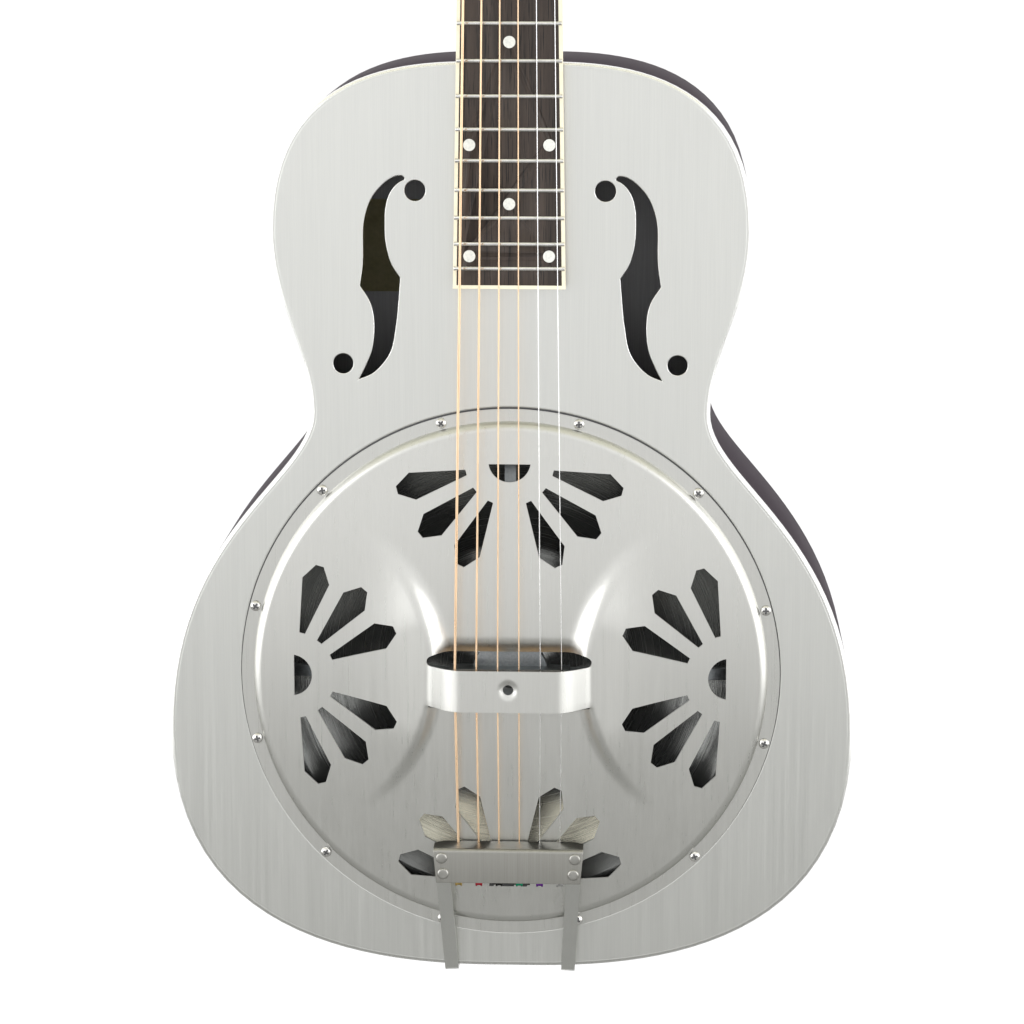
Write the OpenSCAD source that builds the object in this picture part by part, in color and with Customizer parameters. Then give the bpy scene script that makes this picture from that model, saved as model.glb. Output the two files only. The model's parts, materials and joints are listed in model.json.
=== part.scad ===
// Round-neck resonator guitar with a steel body and a spider bridge.
// Drawn flat first: X to the treble side, Y towards the head, Z out of the face,
// zero at the middle of the cover plate on the top sheet. module upright() then
// hangs it by the neck: +Z up, face to -Y, origin where a wall hanger holds the neck.

/* [Body] */
// Length of the body
body_l = 480.6; // [460:0.1:500]
// Middle of the cover plate to the tail end
cover_to_tail = 160.5; // [155:0.1:170]
// Width across the upper bout
upper_bout_w = 248.6; // [235:0.1:262]
// Width across the waist
waist_w = 207.4; // [195:0.1:220]
// Width across the lower bout
lower_bout_w = 361; // [345:0.1:375]
// Widest point of the upper bout, from the middle of the cover plate
upper_bout_y = 233.5; // [228:0.1:240]
// Narrowest point of the waist
waist_y = 139.3; // [134:0.1:145]
// Widest point of the lower bout
lower_bout_y = -31.4; // [-38:0.1:-25]
// Depth of the body
body_depth = 90; // [84:0.1:96]
// Thickness of the body sheet
sheet_t = 1; // [0.8:0.1:1.4]
// Radius of the rolled edge
edge_r = 2.6; // [2:0.1:3]
// Width of the rim that is rolled over the top and back
rim_w = 3.2; // [3.1:0.1:4]

/* [Sound holes] */
// Radius of the upper round hole
upper_hole_r = 5.35; // [4:0.05:6]
// Radius of the lower round hole
lower_hole_r = 5.2; // [4:0.05:6]
// Middle of the f-shaped holes, from the middle of the face
f_hole_x = 67; // [65:0.1:69]
// Middle of the f-shaped holes, along the body
f_hole_y = 208; // [206:0.1:210]

/* [Cover plate] */
// Radius of the cover plate
cover_r = 141.6; // [139:0.1:143]
// Thickness of the cover plate
cover_t = 0.9; // [0.8:0.1:1.2]
// Width of the flat flange under the screws
flange_w = 7.1; // [6.5:0.1:7.5]
// Width of the raised step inside the flange
step_w = 3; // [2.8:0.1:4]
// Height of the dome's foot over the body
step_h = 5.5; // [4.5:0.1:6.5]
// Rise of the dome from its foot to its middle
dome_rise = 4; // [3:0.1:5]
// Number of cover screws
cover_screw_count = 12; // [6:2:12]
// Radius of a cover screw's head
cover_screw_head_r = 2.8; // [2.4:0.1:2.8]
// Radius of a cover screw's shank
cover_screw_r = 1.5; // [1.2:0.05:1.8]
// Length of a cover screw under its head
cover_screw_l = 8; // [6:0.5:10]
// Distance of the fans' centres from the middle
fan_r = 115; // [112:0.1:117]
// Radius of a fan's half disc
fan_disc_r = 11; // [9:0.1:12]
// Height of the pressed shoulders at the hand rest
shoulder_h = 5; // [3:0.1:6]

/* [Hand rest] */
// Length of the string opening
opening_l = 85.6; // [83:0.1:88]
// Head side of the string opening
opening_head_y = 14; // [12:0.1:15]
// Tail side of the string opening
opening_tail_y = -18.5; // [-20:0.1:-17]
// Radius of the string opening's corners
opening_corner_r = 5.5; // [4:0.1:8]
// Width of the hand rest
rest_w = 22; // [20:0.1:24]
// Middle of the hand rest
rest_y = -3.4; // [-4:0.1:-2.5]
// Height of the hand rest over the body
rest_top = 28; // [26.5:0.1:30]
// Length of the flat top of the hand rest
rest_flat_l = 61; // [56:0.1:64]
// Thickness of the hand rest
rest_t = 1.4; // [1:0.1:1.8]
// Radius of the screwdriver hole
access_hole_r = 2.6; // [2.4:0.1:3]

/* [Resonator] */
// Depth of the ledge that holds the cone
ledge_depth = 12; // [11:0.1:14]
// Width of the cover plate past the cone's edge
cone_margin = 9.6; // [9:0.1:11]
// Thickness of the cone
cone_t = 0.7; // [0.5:0.1:0.9]
// Number of legs on the spider
leg_count = 8; // [6:1:8]
// Radius of the spider's hub
hub_r = 20; // [17:0.1:23]
// Radius of the tension screw
tension_r = 1.6; // [1.4:0.1:1.9]
// Place of the tension screw along the body
tension_y = -2; // [-2.6:0.1:-1.4]
// Thickness of the saddles
saddle_t = 3.2; // [2.8:0.1:3.6]

/* [Strings] */
// Sounding length
scale_l = 635; // [620:0.5:650]
// Extra length at the bridge
compensation = 4; // [2:0.1:5]
// Height of the strings over the body at the saddle
string_h = 22; // [21:0.1:23]
// Spread of the strings at the nut
nut_spread = 38.4; // [37:0.1:39]
// Spread of the strings at the saddle
saddle_spread = 55.7; // [54:0.1:56.5]
// Spread of the strings at the tailpiece
tail_spread = 53.6; // [52:0.1:55]
// String diameters, treble to bass
string_d = [0.41, 0.46, 0.66, 0.81, 1.07, 1.42];

/* [Neck] */
// Width of the fingerboard at the nut
nut_w = 44.45; // [43.5:0.05:46]
// Width of the fingerboard at its end over the body
board_end_w = 57.8; // [56:0.1:59]
// Length of the fingerboard over the body
board_overlap = 114.7; // [112:0.1:116]
// Height of the fingerboard's face over the body at the neck joint
board_h = 9; // [8.7:0.1:10]
// Thickness of the fingerboard
board_t = 6.2; // [5.5:0.1:6.5]
// Backward tilt of the neck in degrees
neck_tilt = 1.06; // [0.9:0.01:1.2]
// Distance of the twelfth fret from the body
joint_fret_gap = 1.4; // [1:0.1:2]
// Thickness of neck and fingerboard together at the nut
nut_thickness = 22; // [20.5:0.1:23.5]
// Depth of the heel under the fingerboard's face
heel_d = 65; // [60:0.1:70]
// Width of the binding
binding_w = 1.9; // [1.5:0.1:2.4]
// Number of frets
fret_count = 19; // [12:1:19]
// Width of a fret's crown
fret_w = 2.3; // [2:0.1:2.8]
// Height of a fret's crown
fret_h = 1.1; // [0.9:0.1:1.3]
// Radius of the position dots
dot_r = 3.1; // [2.5:0.1:3.4]
// Length of the nut along the neck
nut_t = 5; // [4.5:0.1:6]
// Radius of the truss rod
rod_r = 2.5; // [2:0.1:3]

/* [Head] */
// Length of the head
head_l = 172; // [168:0.5:180]
// Width of the head
head_w = 68; // [66:0.1:72]
// Thickness of the head's wood
head_t = 14; // [13:0.1:15]
// Backward angle of the head in degrees
head_angle = 14; // [12:0.1:15]
// Thickness of the head's face veneer
veneer_t = 2; // [1:0.1:2.5]

/* [Tuning machines] */
// First post from the nut
post_y0 = 46; // [44:0.5:48]
// Distance between posts
post_pitch = 35.5; // [35:0.1:38]
// Distance of the posts from the middle of the head
post_x = 22; // [21.5:0.1:22.5]
// Radius of a post
post_r = 3; // [2.8:0.05:3.2]
// Height of a post over the head's face
post_h = 13; // [12:0.1:15]
// Teeth of the wheel
wheel_teeth = 15; // [14:1:16]
// Module of the gear
gear_module = 0.65; // [0.62:0.01:0.68]
// Pitch radius of the worm
worm_pitch_r = 2.5; // [2.4:0.05:2.7]
// Radius of the key shaft
key_r = 1.75; // [1.6:0.05:1.8]
// Thickness of the machine plates
machine_plate_t = 1.2; // [1:0.1:1.5]
// Length of a button along its shaft
button_l = 17; // [14:0.5:19]
// Width of a button across its shaft
button_w = 21; // [17:0.5:23]
// Thickness of a button
button_t = 8; // [7:0.5:10]

/* [Tailpiece] */
// Distance of the tailpiece's front from the middle of the cover plate
tail_front = 88.5; // [86:0.1:91]
// Length of the tailpiece's plate along the strings
tail_plate_l = 19.1; // [18:0.1:21]
// Width of the tailpiece's plate at the front
tail_plate_w = 78.8; // [76:0.1:82]
// Height of the tailpiece's plate over the body
tail_top = 25; // [24:0.1:26]
// Thickness of the tailpiece's sheet
tail_t = 1.4; // [1.2:0.1:1.6]
// Height of the folded front
tail_fold_h = 15.8; // [14:0.1:17]
// Width of the two straps
strap_w = 7.2; // [6:0.1:8]
// Thickness of the two straps
strap_t = 1.7; // [1.4:0.1:2]
// Distance of the straps from the middle, at the plate
strap_x = 34.4; // [33:0.1:35]
// Distance of the straps from the middle, at the tail end
strap_end_x = 31; // [30:0.1:32]
// Radius of a rivet's head
rivet_r = 3; // [2.5:0.1:3.2]
// Radius of a string's ball end
ball_r = 2.2; // [1.9:0.1:2.3]
// Depth of the end pin under the face
end_pin_depth = 45; // [42:0.5:48]

/* [Hidden] */
$fn = 48;

// Colours
STEEL = "#c4c4bf";
SIDE_STEEL = "#7a757c";
SPUN = "#a9abad";
CAST = "#8d9092";
NICKEL = "#d9dadb";
BRASS = "#c9ad62";
BOARD_WOOD = "#443d38";
NECK_WOOD = "#7b4a2c";
PALE_WOOD = "#c9a877";
IVORY = "#f3eed8";
PEARL = "#e9eadf";
BRONZE = "#d9a878";
BLACK = "#202022";

// Clearances
SEAM = 0.15;          // between parts that are soldered or glued side by side
LOOSE = 0.3;          // between parts that only lie next to each other
RUNNING = 0.06;       // round a shaft that turns
SNUG = 0.05;          // round a screw or a pin that does not turn
SLOT = 0.15;          // beside a string in its slot
PAST = 1;             // how far a cutter runs past the surface that it opens

// ---------- where the flat drawing goes ----------

body_top_y = body_l - cover_to_tail;
nut_s = scale_l / 2 + joint_fret_gap;

// A point of the neck's own frame (Y along the neck from the body, Z over the board's face) in the flat one
function from_neck(p) = [p[0],
    body_top_y + p[1] * cos(neck_tilt) + p[2] * sin(neck_tilt),
    board_h - p[1] * sin(neck_tilt) + p[2] * cos(neck_tilt)];

// A point of the head's frame (Y along the head from the nut, Z over the veneer) in the neck's frame
function head_to_neck(p) = [p[0],
    nut_s + nut_t + p[1] * cos(head_angle) + p[2] * sin(head_angle),
    -board_t - p[1] * sin(head_angle) + p[2] * cos(head_angle)];

seat = from_neck([0, nut_s, -nut_thickness]);

module upright() translate([0, seat[2], -seat[1]]) rotate([90, 0, 0]) children();
module on_neck() translate([0, body_top_y, board_h]) rotate([-neck_tilt, 0, 0]) children();
module on_head() on_neck() translate([0, nut_s + nut_t, -board_t]) rotate([-head_angle, 0, 0]) children();

// ---------- body outline ----------

// Reach of the curve's handles at the neck, shoulder, waist, flank and tail
neck_pull = 29;
shoulder_pull = 97.2;
upper_waist_pull = 37.2;
waist_pull = 32.7;
lower_waist_pull = 35;
flank_pull = 106.5;
hip_pull = 134.1;
tail_pull = 41;

function bezier(p, t) = (1 - t) ^ 3 * p[0] + 3 * (1 - t) ^ 2 * t * p[1]
    + 3 * (1 - t) * t ^ 2 * p[2] + t ^ 3 * p[3];
function bezier_way(p, t) = (1 - t) ^ 2 * (p[1] - p[0]) + 2 * (1 - t) * t * (p[2] - p[1])
    + t ^ 2 * (p[3] - p[2]);

upper_bout = [upper_bout_w / 2, upper_bout_y];
waist = [waist_w / 2, waist_y];
lower_bout = [lower_bout_w / 2, lower_bout_y];
neck_end = [0, body_top_y];
tail_end = [0, -cover_to_tail];

side_curves = [
    [neck_end, neck_end + [neck_pull, 0], upper_bout + [0, shoulder_pull], upper_bout],
    [upper_bout, upper_bout - [0, upper_waist_pull], waist + [0, waist_pull], waist],
    [waist, waist - [0, lower_waist_pull], lower_bout + [0, flank_pull], lower_bout],
    [lower_bout, lower_bout - [0, hip_pull], tail_end + [tail_pull, 0], tail_end]];
curve_steps = [13, 8, 13, 16];

// Points of the treble half from neck to tail, moved inwards by inset
function half_outline(inset) = [for (c = [0 : 3]) for (i = [0 : curve_steps[c] - 1])
    let (t = i / curve_steps[c], p = bezier(side_curves[c], t), way = bezier_way(side_curves[c], t))
    p + inset * [way[1], -way[0]] / norm(way)];

function outline(inset = 0) = let (half = half_outline(inset), n = len(half),
    tail = [0, -cover_to_tail + inset])
    concat(half, [tail], [for (i = [n - 1 : -1 : 1]) [-half[i][0], half[i][1]]]);

// A skin swept round the outline; profile lists [inset, height] all the way round the section
module outline_tube(profile) {
    rings = [for (p = profile) outline(p[0])];
    n = len(rings[0]);
    m = len(profile);
    points = [for (k = [0 : m - 1]) for (q = rings[k]) [q[0], q[1], profile[k][1]]];
    faces = [for (k = [0 : m - 1]) for (i = [0 : n - 1])
        let (j = (i + 1) % n, l = (k + 1) % m) [k * n + i, k * n + j, l * n + j, l * n + i]];
    polyhedron(points, faces, convexity = 6);
}

// ---------- body ----------

back_z = -body_depth;
cone_r = cover_r - cone_margin;
well_r = cone_r + 2.6;          // inner radius of the sound well
screw_circle_r = cover_r - 3.05;
roll_steps = 3;

stick_w = 24;
stick_top = -36;
stick_h = 30;
tenon_w = 12;
tenon_h = 9;
tenon_l = 5;
block_t = 32;                    // length of the end block along the body
block_w = 62;
low_block_y = 60;
high_block_in = 80.1;            // the upper block's lower end from the neck end of the body
stick_block_l = 22;
label_w = 62;
label_l = 42;

// The rolled edge of the sides: a quarter round from the outer wall to the rim
function roll(top, dir) = [for (i = [0 : roll_steps]) let (a = 90 * i / roll_steps)
    [edge_r * (1 - cos(a)), top - dir * edge_r * (1 - sin(a))]];

module body_sides() color(SIDE_STEEL) upright() difference() {
    outline_tube(concat(roll(0, 1), [[rim_w, 0], [rim_w, -sheet_t], [sheet_t, -edge_r - 0.4]],
        [[sheet_t, back_z + edge_r + 0.4], [rim_w, back_z + sheet_t], [rim_w, back_z]],
        [for (i = [roll_steps : -1 : 0]) roll(back_z, -1)[i]]));
    translate([-tenon_w / 2 - LOOSE, body_top_y - 20, stick_top - tenon_h - LOOSE])
        cube([tenon_w + 2 * LOOSE, 40, tenon_h + 2 * LOOSE]);
    translate([0, -cover_to_tail + 10, -end_pin_depth]) rotate([90, 0, 0])
        cylinder(r = end_pin_screw_r + SNUG, h = 20);
}

// Outline of the treble f-shaped hole about its own middle, as a closed smooth curve
f_points = [[-10.8, 52.8], [-1, 45.7], [6.1, 36.6], [9, 25], [8.9, 10.6], [10.6, -2.6], [5.2, -11.6],
    [3.3, -22.6], [4.4, -35.2], [8, -44.6], [11.7, -51.6], [3, -47.3], [-5, -37], [-7.9, -23],
    [-9, -13.3], [-10.2, 1.4], [-5.4, 9.3], [-2.7, 20.6], [-2, 32.2], [-4, 40.8], [-8.6, 49.2]];
f_corners = [0, 5, 10, 15];      // the two tips and the two notches stay sharp
upper_hole = [-18.1, 46.6];
lower_hole = [19.6, -43.3];

function is_corner(i) = len([for (c = f_corners) if (c == i) c]) > 0;
function f_way(i) = let (n = len(f_points)) (f_points[(i + 1) % n] - f_points[(i + n - 1) % n]) / 6;
function f_curve() = let (n = len(f_points)) [for (i = [0 : n - 1]) for (t = [0, 0.33, 0.67])
    let (j = (i + 1) % n, a = is_corner(i) ? (f_points[j] - f_points[i]) / 3 : f_way(i),
        b = is_corner(j) ? (f_points[j] - f_points[i]) / 3 : f_way(j))
    bezier([f_points[i], f_points[i] + a, f_points[j] - b, f_points[j]], t)];

module f_hole() translate([f_hole_x, f_hole_y]) {
    polygon(f_curve());
    translate(upper_hole) circle(r = upper_hole_r);
    translate(lower_hole) circle(r = lower_hole_r);
}

module top_plate() color(STEEL) upright() difference() {
    translate([0, 0, -sheet_t]) linear_extrude(sheet_t) difference() {
        polygon(outline(rim_w + SEAM));
        circle(r = well_r, $fn = 96);
        f_hole();
        mirror([1, 0]) f_hole();
    }
    cover_screw_places() translate([0, 0, -sheet_t - PAST])
        cylinder(r = cover_screw_r + SNUG, h = sheet_t + 2 * PAST);
}

module back_plate() color(STEEL) upright() translate([0, 0, back_z]) linear_extrude(sheet_t)
    polygon(outline(rim_w + SEAM));

module interior_label() color("#e8e4d6") upright()
    translate([-f_hole_x + 4 - label_w / 2, f_hole_y - label_l / 2, back_z + sheet_t])
    cube([label_w, label_l, 0.3]);

// ---------- cover plate ----------

dome_r = cover_r - flange_w - step_w;
dome_steps = 8;
petal_angles = [15, 40, 65, 115, 140, 165];
petal = [[23.4, 1.5], [52.3, 7.3], [60.7, 2.1]];     // [distance from the fan's centre, half width]
fan_chord = 1.6;                                    // chord of the half disc from the fan's centre
shoulder_r = 76;                                    // crest of a shoulder about the side fan's centre
shoulder_cut = 8;                                   // depth of the step's slope
shoulder_foot = 12;                                 // width of the step's slope
shoulder_tilt = 10.6;                               // slope of a shoulder down to the side fan

function dome_z(r) = step_h + dome_rise * (1 - (r / dome_r) ^ 2);
function dome_line(under) = [for (i = [0 : dome_steps]) let (r = dome_r * (1 - i / dome_steps))
    [r, dome_z(r) - under]];
shoulder_top = dome_z(fan_r - shoulder_r) + shoulder_h;
function ease(u) = let (v = min(1, max(0, u))) v * v * (3 - 2 * v);

module cover_screw_places() for (i = [0 : cover_screw_count - 1])
    rotate([0, 0, 360 / cover_screw_count * (i + 0.5)]) translate([screw_circle_r, 0, 0]) children();

module cover_shell() {
    foot = cover_r - flange_w;
    low = foot - step_w * 0.35;
    high = foot - step_w * 0.65;
    top = concat([[cover_r, cover_t], [foot, cover_t], [low, step_h * 0.42], [high, step_h * 0.85]],
        dome_line(0));
    under = concat([for (q = [dome_steps : -1 : 0]) dome_line(cover_t)[q]],
        [[high - cover_t * 0.4, step_h * 0.85 - cover_t],
        [low - cover_t * 0.7, step_h * 0.42 - cover_t * 0.5],
        [foot - cover_t * 0.6, 0], [cover_r, 0]]);
    rotate_extrude($fn = 96) polygon(concat(top, under));
}

// A shoulder is a tilted disc about a side fan: it stands out of the dome towards the hand rest,
// ends in a step at the string channel, and sinks back into the dome at both sides
module shoulder() difference() {
    translate([fan_r, 0, shoulder_top - shoulder_r * sin(shoulder_tilt)]) rotate([0, shoulder_tilt, 0])
        translate([0, 0, -shoulder_cut])
        cylinder(r1 = shoulder_r + shoulder_foot, r2 = shoulder_r, h = shoulder_cut, $fn = 96);
    rotate_extrude($fn = 96)
        polygon(concat([[0, -100], [2 * cover_r, -100], [2 * cover_r, step_h - cover_t / 2]],
            dome_line(cover_t / 2)));
}

module fan() translate([0, fan_r]) {
    for (a = petal_angles) rotate(-a)
        polygon([for (p = petal) [p[0], p[1]], for (i = [2 : -1 : 0]) [petal[i][0], -petal[i][1]]]);
    difference() {
        circle(r = fan_disc_r);
        translate([-fan_disc_r - PAST, -fan_chord])
            square([2 * (fan_disc_r + PAST), fan_disc_r + fan_chord + PAST]);
    }
}

module string_opening() {
    long = opening_l / 2 - opening_corner_r;
    low = opening_tail_y + opening_corner_r;
    high = opening_head_y - opening_corner_r;
    translate([-long, opening_tail_y]) square([2 * long, opening_head_y - opening_tail_y]);
    translate([-opening_l / 2, low]) square([opening_l, high - low]);
    for (x = [-long, long]) for (y = [low, high]) translate([x, y]) circle(r = opening_corner_r);
}

rest_foot = 4;                    // how far the hand rest laps onto the shoulders
rest_base = shoulder_top - (opening_l / 2 - fan_r + shoulder_r) * tan(shoulder_tilt);

module hand_rest() {
    half = opening_l / 2 + rest_foot;
    slope = half - rest_flat_l / 2;
    rise = rest_top - rest_base;
    steps = 8;
    line = [for (i = [0 : steps]) [-half + slope * i / steps, rest_base + rise * ease(i / steps)]];
    both = concat(line, [for (i = [steps : -1 : 0]) [-line[i][0], line[i][1]]]);
    translate([0, rest_y + rest_w / 2, 0]) rotate([90, 0, 0]) linear_extrude(rest_w)
        polygon(concat(both, [for (i = [len(both) - 1 : -1 : 0]) both[i] - [0, rest_t]]));
}

module coverplate() color(STEEL) upright() difference() {
    union() {
        difference() {
            union() {
                cover_shell();
                for (s = [0, 1]) mirror([s, 0, 0]) shoulder();
            }
            for (a = [0 : 90 : 270]) rotate([0, 0, a])
                translate([0, 0, -PAST]) linear_extrude(rest_top) fan();
            translate([0, 0, -PAST]) linear_extrude(rest_top) string_opening();
        }
        hand_rest();
    }
    translate([0, tension_y, rest_top - rest_t - PAST]) cylinder(r = access_hole_r, h = rest_t + 2 * PAST);
    cover_screw_places() translate([0, 0, -PAST])
        cylinder(r = cover_screw_r + SNUG, h = cover_t + 2 * PAST);
}

// A pan head screw with a cross slot, head upwards from z = 0
module pan_screw(head_r, shank_r, shank_l, head_h) {
    slot = head_r * 0.28;
    difference() {
        union() {
            cylinder(r = head_r, h = head_h * 0.5);
            translate([0, 0, head_h * 0.5]) cylinder(r1 = head_r, r2 = head_r * 0.6, h = head_h * 0.5);
        }
        for (a = [0, 90]) rotate([0, 0, a]) translate([-head_r * 0.55, -slot / 2, head_h * 0.5])
            cube([head_r * 1.1, slot, head_h]);
    }
    translate([0, 0, -shank_l]) cylinder(r = shank_r, h = shank_l);
}

module coverplate_screws() color(NICKEL) upright() cover_screw_places()
    translate([0, 0, cover_t]) pan_screw(cover_screw_head_r, cover_screw_r, cover_screw_l, 1.8);

// ---------- resonator ----------

ledge_w = 9;
well_t = 1.4;
well_flange_w = cover_r - well_r - 1;

module soundwell() color(PALE_WOOD) upright() difference() {
    rotate_extrude($fn = 96) polygon([[well_r, -sheet_t], [well_r + well_flange_w, -sheet_t],
        [well_r + well_flange_w, -sheet_t - 1.2], [well_r + well_t, -sheet_t - 1.2],
        [well_r + well_t, -ledge_depth - well_t], [well_r - ledge_w, -ledge_depth - well_t],
        [well_r - ledge_w, -ledge_depth], [well_r, -ledge_depth]]);
    cover_screw_places() translate([0, 0, -ledge_depth * 0.75])
        cylinder(r = cover_screw_r + SNUG, h = ledge_depth);
}

cone_profile = [[cone_r, 0], [cone_r - 10, 0], [cone_r - 14, -1.5], [72, -17.5], [64, -19.3], [56, -17.5],
    [14, 1.2], [7, 2.6]];         // [radius, height over the ledge]
cone_boss_r = 7;

module resonator_cone() color(SPUN) upright() translate([0, 0, -ledge_depth]) difference() {
    rotate_extrude($fn = 96) polygon(concat([[0, cone_profile[7][1] + cone_t]],
        [for (i = [7 : -1 : 0]) cone_profile[i] + [0, cone_t]], cone_profile, [[0, cone_profile[7][1]]]));
    translate([0, tension_y, -PAST]) cylinder(r = tension_r + SNUG, h = 10);
}

foot_r = cone_r - 5;
leg_w = 6;
leg_h = 4.5;
hub_top = 2;
hub_t = 7;
jaw_top = 11;
jaw_t = 3.4;
jaw_l = 63;
foot_z = -ledge_depth + cone_t;

module spider_leg() rotate([90, 0, 0]) translate([0, 0, -leg_w / 2]) linear_extrude(leg_w)
    polygon([[hub_r - 4, hub_top - hub_t + 0.5], [foot_r - 9, foot_z + 2.5], [foot_r - 3.5, foot_z],
        [foot_r, foot_z], [foot_r, foot_z + 3], [foot_r - 5, foot_z + 3 + leg_h * 0.7],
        [hub_r - 4, hub_top]]);

module spider_bridge() color(CAST) upright() difference() {
    union() {
        translate([0, 0, hub_top - hub_t]) cylinder(r = hub_r, h = hub_t);
        for (i = [0 : leg_count - 1]) rotate([0, 0, 360 / leg_count * i]) spider_leg();
        translate([-jaw_l / 2, -saddle_t / 2 - SNUG - jaw_t, hub_top - 4])
            cube([jaw_l, 2 * jaw_t + saddle_t + 2 * SNUG, jaw_top - hub_top + 4]);
    }
    translate([-jaw_l / 2 - PAST, -saddle_t / 2 - SNUG, hub_top])
        cube([jaw_l + 2 * PAST, saddle_t + 2 * SNUG, jaw_top]);
    translate([0, tension_y, hub_top]) cylinder(r = tension_head_r + LOOSE, h = jaw_top);
    translate([0, tension_y, hub_top - hub_t - PAST])
        cylinder(r = tension_r + RUNNING, h = hub_t + 2 * PAST);
}

saddle_gap = 7.6;
saddle_l = 61;
tension_head_r = 2.5;

module saddles() color(PALE_WOOD) upright() difference() {
    for (s = [0, 1]) mirror([s, 0, 0]) translate([saddle_gap / 2, -saddle_t / 2, hub_top])
        cube([(saddle_l - saddle_gap) / 2, saddle_t, string_h + 0.5 - hub_top]);
    for (n = [1 : 6])
        string_slot(string_x(n, saddle_spread), n, string_h - LOOSE, -saddle_t / 2 - PAST,
            saddle_t + 2 * PAST);
}

module tension_screw() color(NICKEL) upright() translate([0, tension_y, hub_top + 0.1]) difference() {
    union() {
        cylinder(r = tension_head_r, h = 2.2);
        translate([0, 0, -11.4]) cylinder(r = tension_r, h = 11.5);
    }
    translate([-tension_head_r - PAST, -0.4, 1.2]) cube([2 * (tension_head_r + PAST), 0.8, 2]);
}

// ---------- wood inside the body ----------

stick_head_y = body_top_y - 3;
block_face_y = -cover_to_tail + rim_w + 2 * LOOSE + block_t;
end_pin_screw_r = 2.4;

module neck_stick() color(PALE_WOOD) upright() {
    translate([-stick_w / 2, block_face_y + SEAM, stick_top - stick_h])
        cube([stick_w, stick_head_y - block_face_y - SEAM, stick_h]);
    translate([-tenon_w / 2, stick_head_y - PAST, stick_top - tenon_h])
        cube([tenon_w, 3 + tenon_l + PAST, tenon_h]);
}

module stick_blocks() color(PALE_WOOD) upright() for (y = [low_block_y, body_top_y - high_block_in])
    translate([-stick_w / 2, y, back_z + sheet_t])
    cube([stick_w, stick_block_l, stick_top - stick_h - back_z - sheet_t]);

module end_block() color(PALE_WOOD) upright() difference() {
    translate([-block_w / 2, block_face_y - block_t, back_z + sheet_t])
        cube([block_w, block_t, body_depth - 2 * sheet_t]);
    translate([0, block_face_y - 4, -end_pin_depth]) rotate([90, 0, 0])
        cylinder(r = end_pin_screw_r + SNUG, h = block_t);
    rotate_extrude($fn = 96) translate([0, -ledge_depth - well_t - LOOSE])
        square([well_r + well_t + LOOSE, ledge_depth + well_t + 2]);
    rotate_extrude($fn = 96) translate([0, -sheet_t - 1.2 - LOOSE])
        square([well_r + well_flange_w + LOOSE, 3]);
}

// A button for a shoulder strap, its flange on z = 0 and its screw downwards
module button_profile(screw_l) rotate_extrude() polygon([[0, -screw_l], [end_pin_screw_r * 0.5, -screw_l],
    [end_pin_screw_r, -screw_l + 4], [end_pin_screw_r, 0], [6, 0], [6, 1], [4.4, 2], [3.6, 3.6], [3.8, 5],
    [5.2, 6], [6.2, 7], [6, 8], [4.8, 8.6], [0, 8.6]]);

bracket_t = 1.4;

module end_pin() color(NICKEL) upright()
    translate([0, -cover_to_tail - LOOSE - bracket_t, -end_pin_depth]) rotate([90, 0, 0]) button_profile(26);

// ---------- tailpiece ----------

tail_back = tail_front + tail_plate_l;
tail_taper = 3;                   // how much narrower the plate is at its back
string_tail_z = 12;               // height of the strings at the folded front
ball_z = 10.5;
ball_y = -tail_back - ball_r - LOOSE;
rivet_in = 5;                     // rivets from the plate's front and back edges
strap_top = tail_top - tail_t;
strap_angle = atan((strap_x - strap_end_x) / (cover_to_tail - tail_front - 12));
lift_at_tail = 1.2;               // height of the straps over the body at the tail end
bracket_drop = 56;                // lower end of the bracket under the face
bracket_w = 44;

fold_edge = [[tail_plate_w / 2, tail_top - tail_t / 2], [tail_plate_w / 2 - 0.6, tail_top - tail_fold_h + 4],
    [tail_plate_w / 2 - 4.6, tail_top - tail_fold_h]];

module tailpiece() color(STEEL) upright() difference() {
    union() {
        translate([0, 0, tail_top - tail_t]) linear_extrude(tail_t)
            polygon([[-tail_plate_w / 2, -tail_front], [tail_plate_w / 2, -tail_front],
                [(tail_plate_w - tail_taper) / 2, -tail_back],
                [-(tail_plate_w - tail_taper) / 2, -tail_back]]);
        translate([0, -tail_front, 0]) rotate([90, 0, 0]) linear_extrude(tail_t)
            polygon([for (s = [-1, 1]) for (q = s < 0 ? fold_edge : [for (i = [2 : -1 : 0]) fold_edge[i]])
                [s * q[0], q[1]]]);
        translate([-back_fold_w / 2, -tail_back, ball_z - ball_r - 0.6])
            cube([back_fold_w, tail_t, tail_top - ball_z + ball_r]);
    }
    for (n = [1 : 6]) translate([string_x(n, tail_spread), 0, 0]) {
        for (q = [[-tail_front - tail_t / 2, string_tail_z], [-tail_back + tail_t / 2, ball_z + 0.1]])
            translate([0, q[0], q[1]]) rotate([90, 0, 0])
            cylinder(r = string_r(n) + LOOSE, h = 4 * tail_t, center = true, $fn = 24);
    }
    rivet_places() translate([0, 0, -PAST - tail_t])
        cylinder(r = rivet_shank_r + SNUG, h = tail_t + 2 * PAST);
}

back_fold_w = 2 * (strap_x - strap_w / 2) - 1;
rivet_shank_r = 1.5;
rivet_xs = [strap_x + 0.6, strap_x - 0.2];

module rivet_places() for (s = [-1, 1]) for (i = [0, 1])
    translate([s * rivet_xs[i], i == 0 ? -tail_front - rivet_in : -tail_back + rivet_in, tail_top])
    children();

module tailpiece_rivets() color(NICKEL) upright() rivet_places() {
    cylinder(r1 = rivet_r, r2 = rivet_r * 0.8, h = 1);
    translate([0, 0, -tail_t - strap_t - 0.1]) cylinder(r = rivet_shank_r, h = tail_t + strap_t + 0.2);
}

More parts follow.
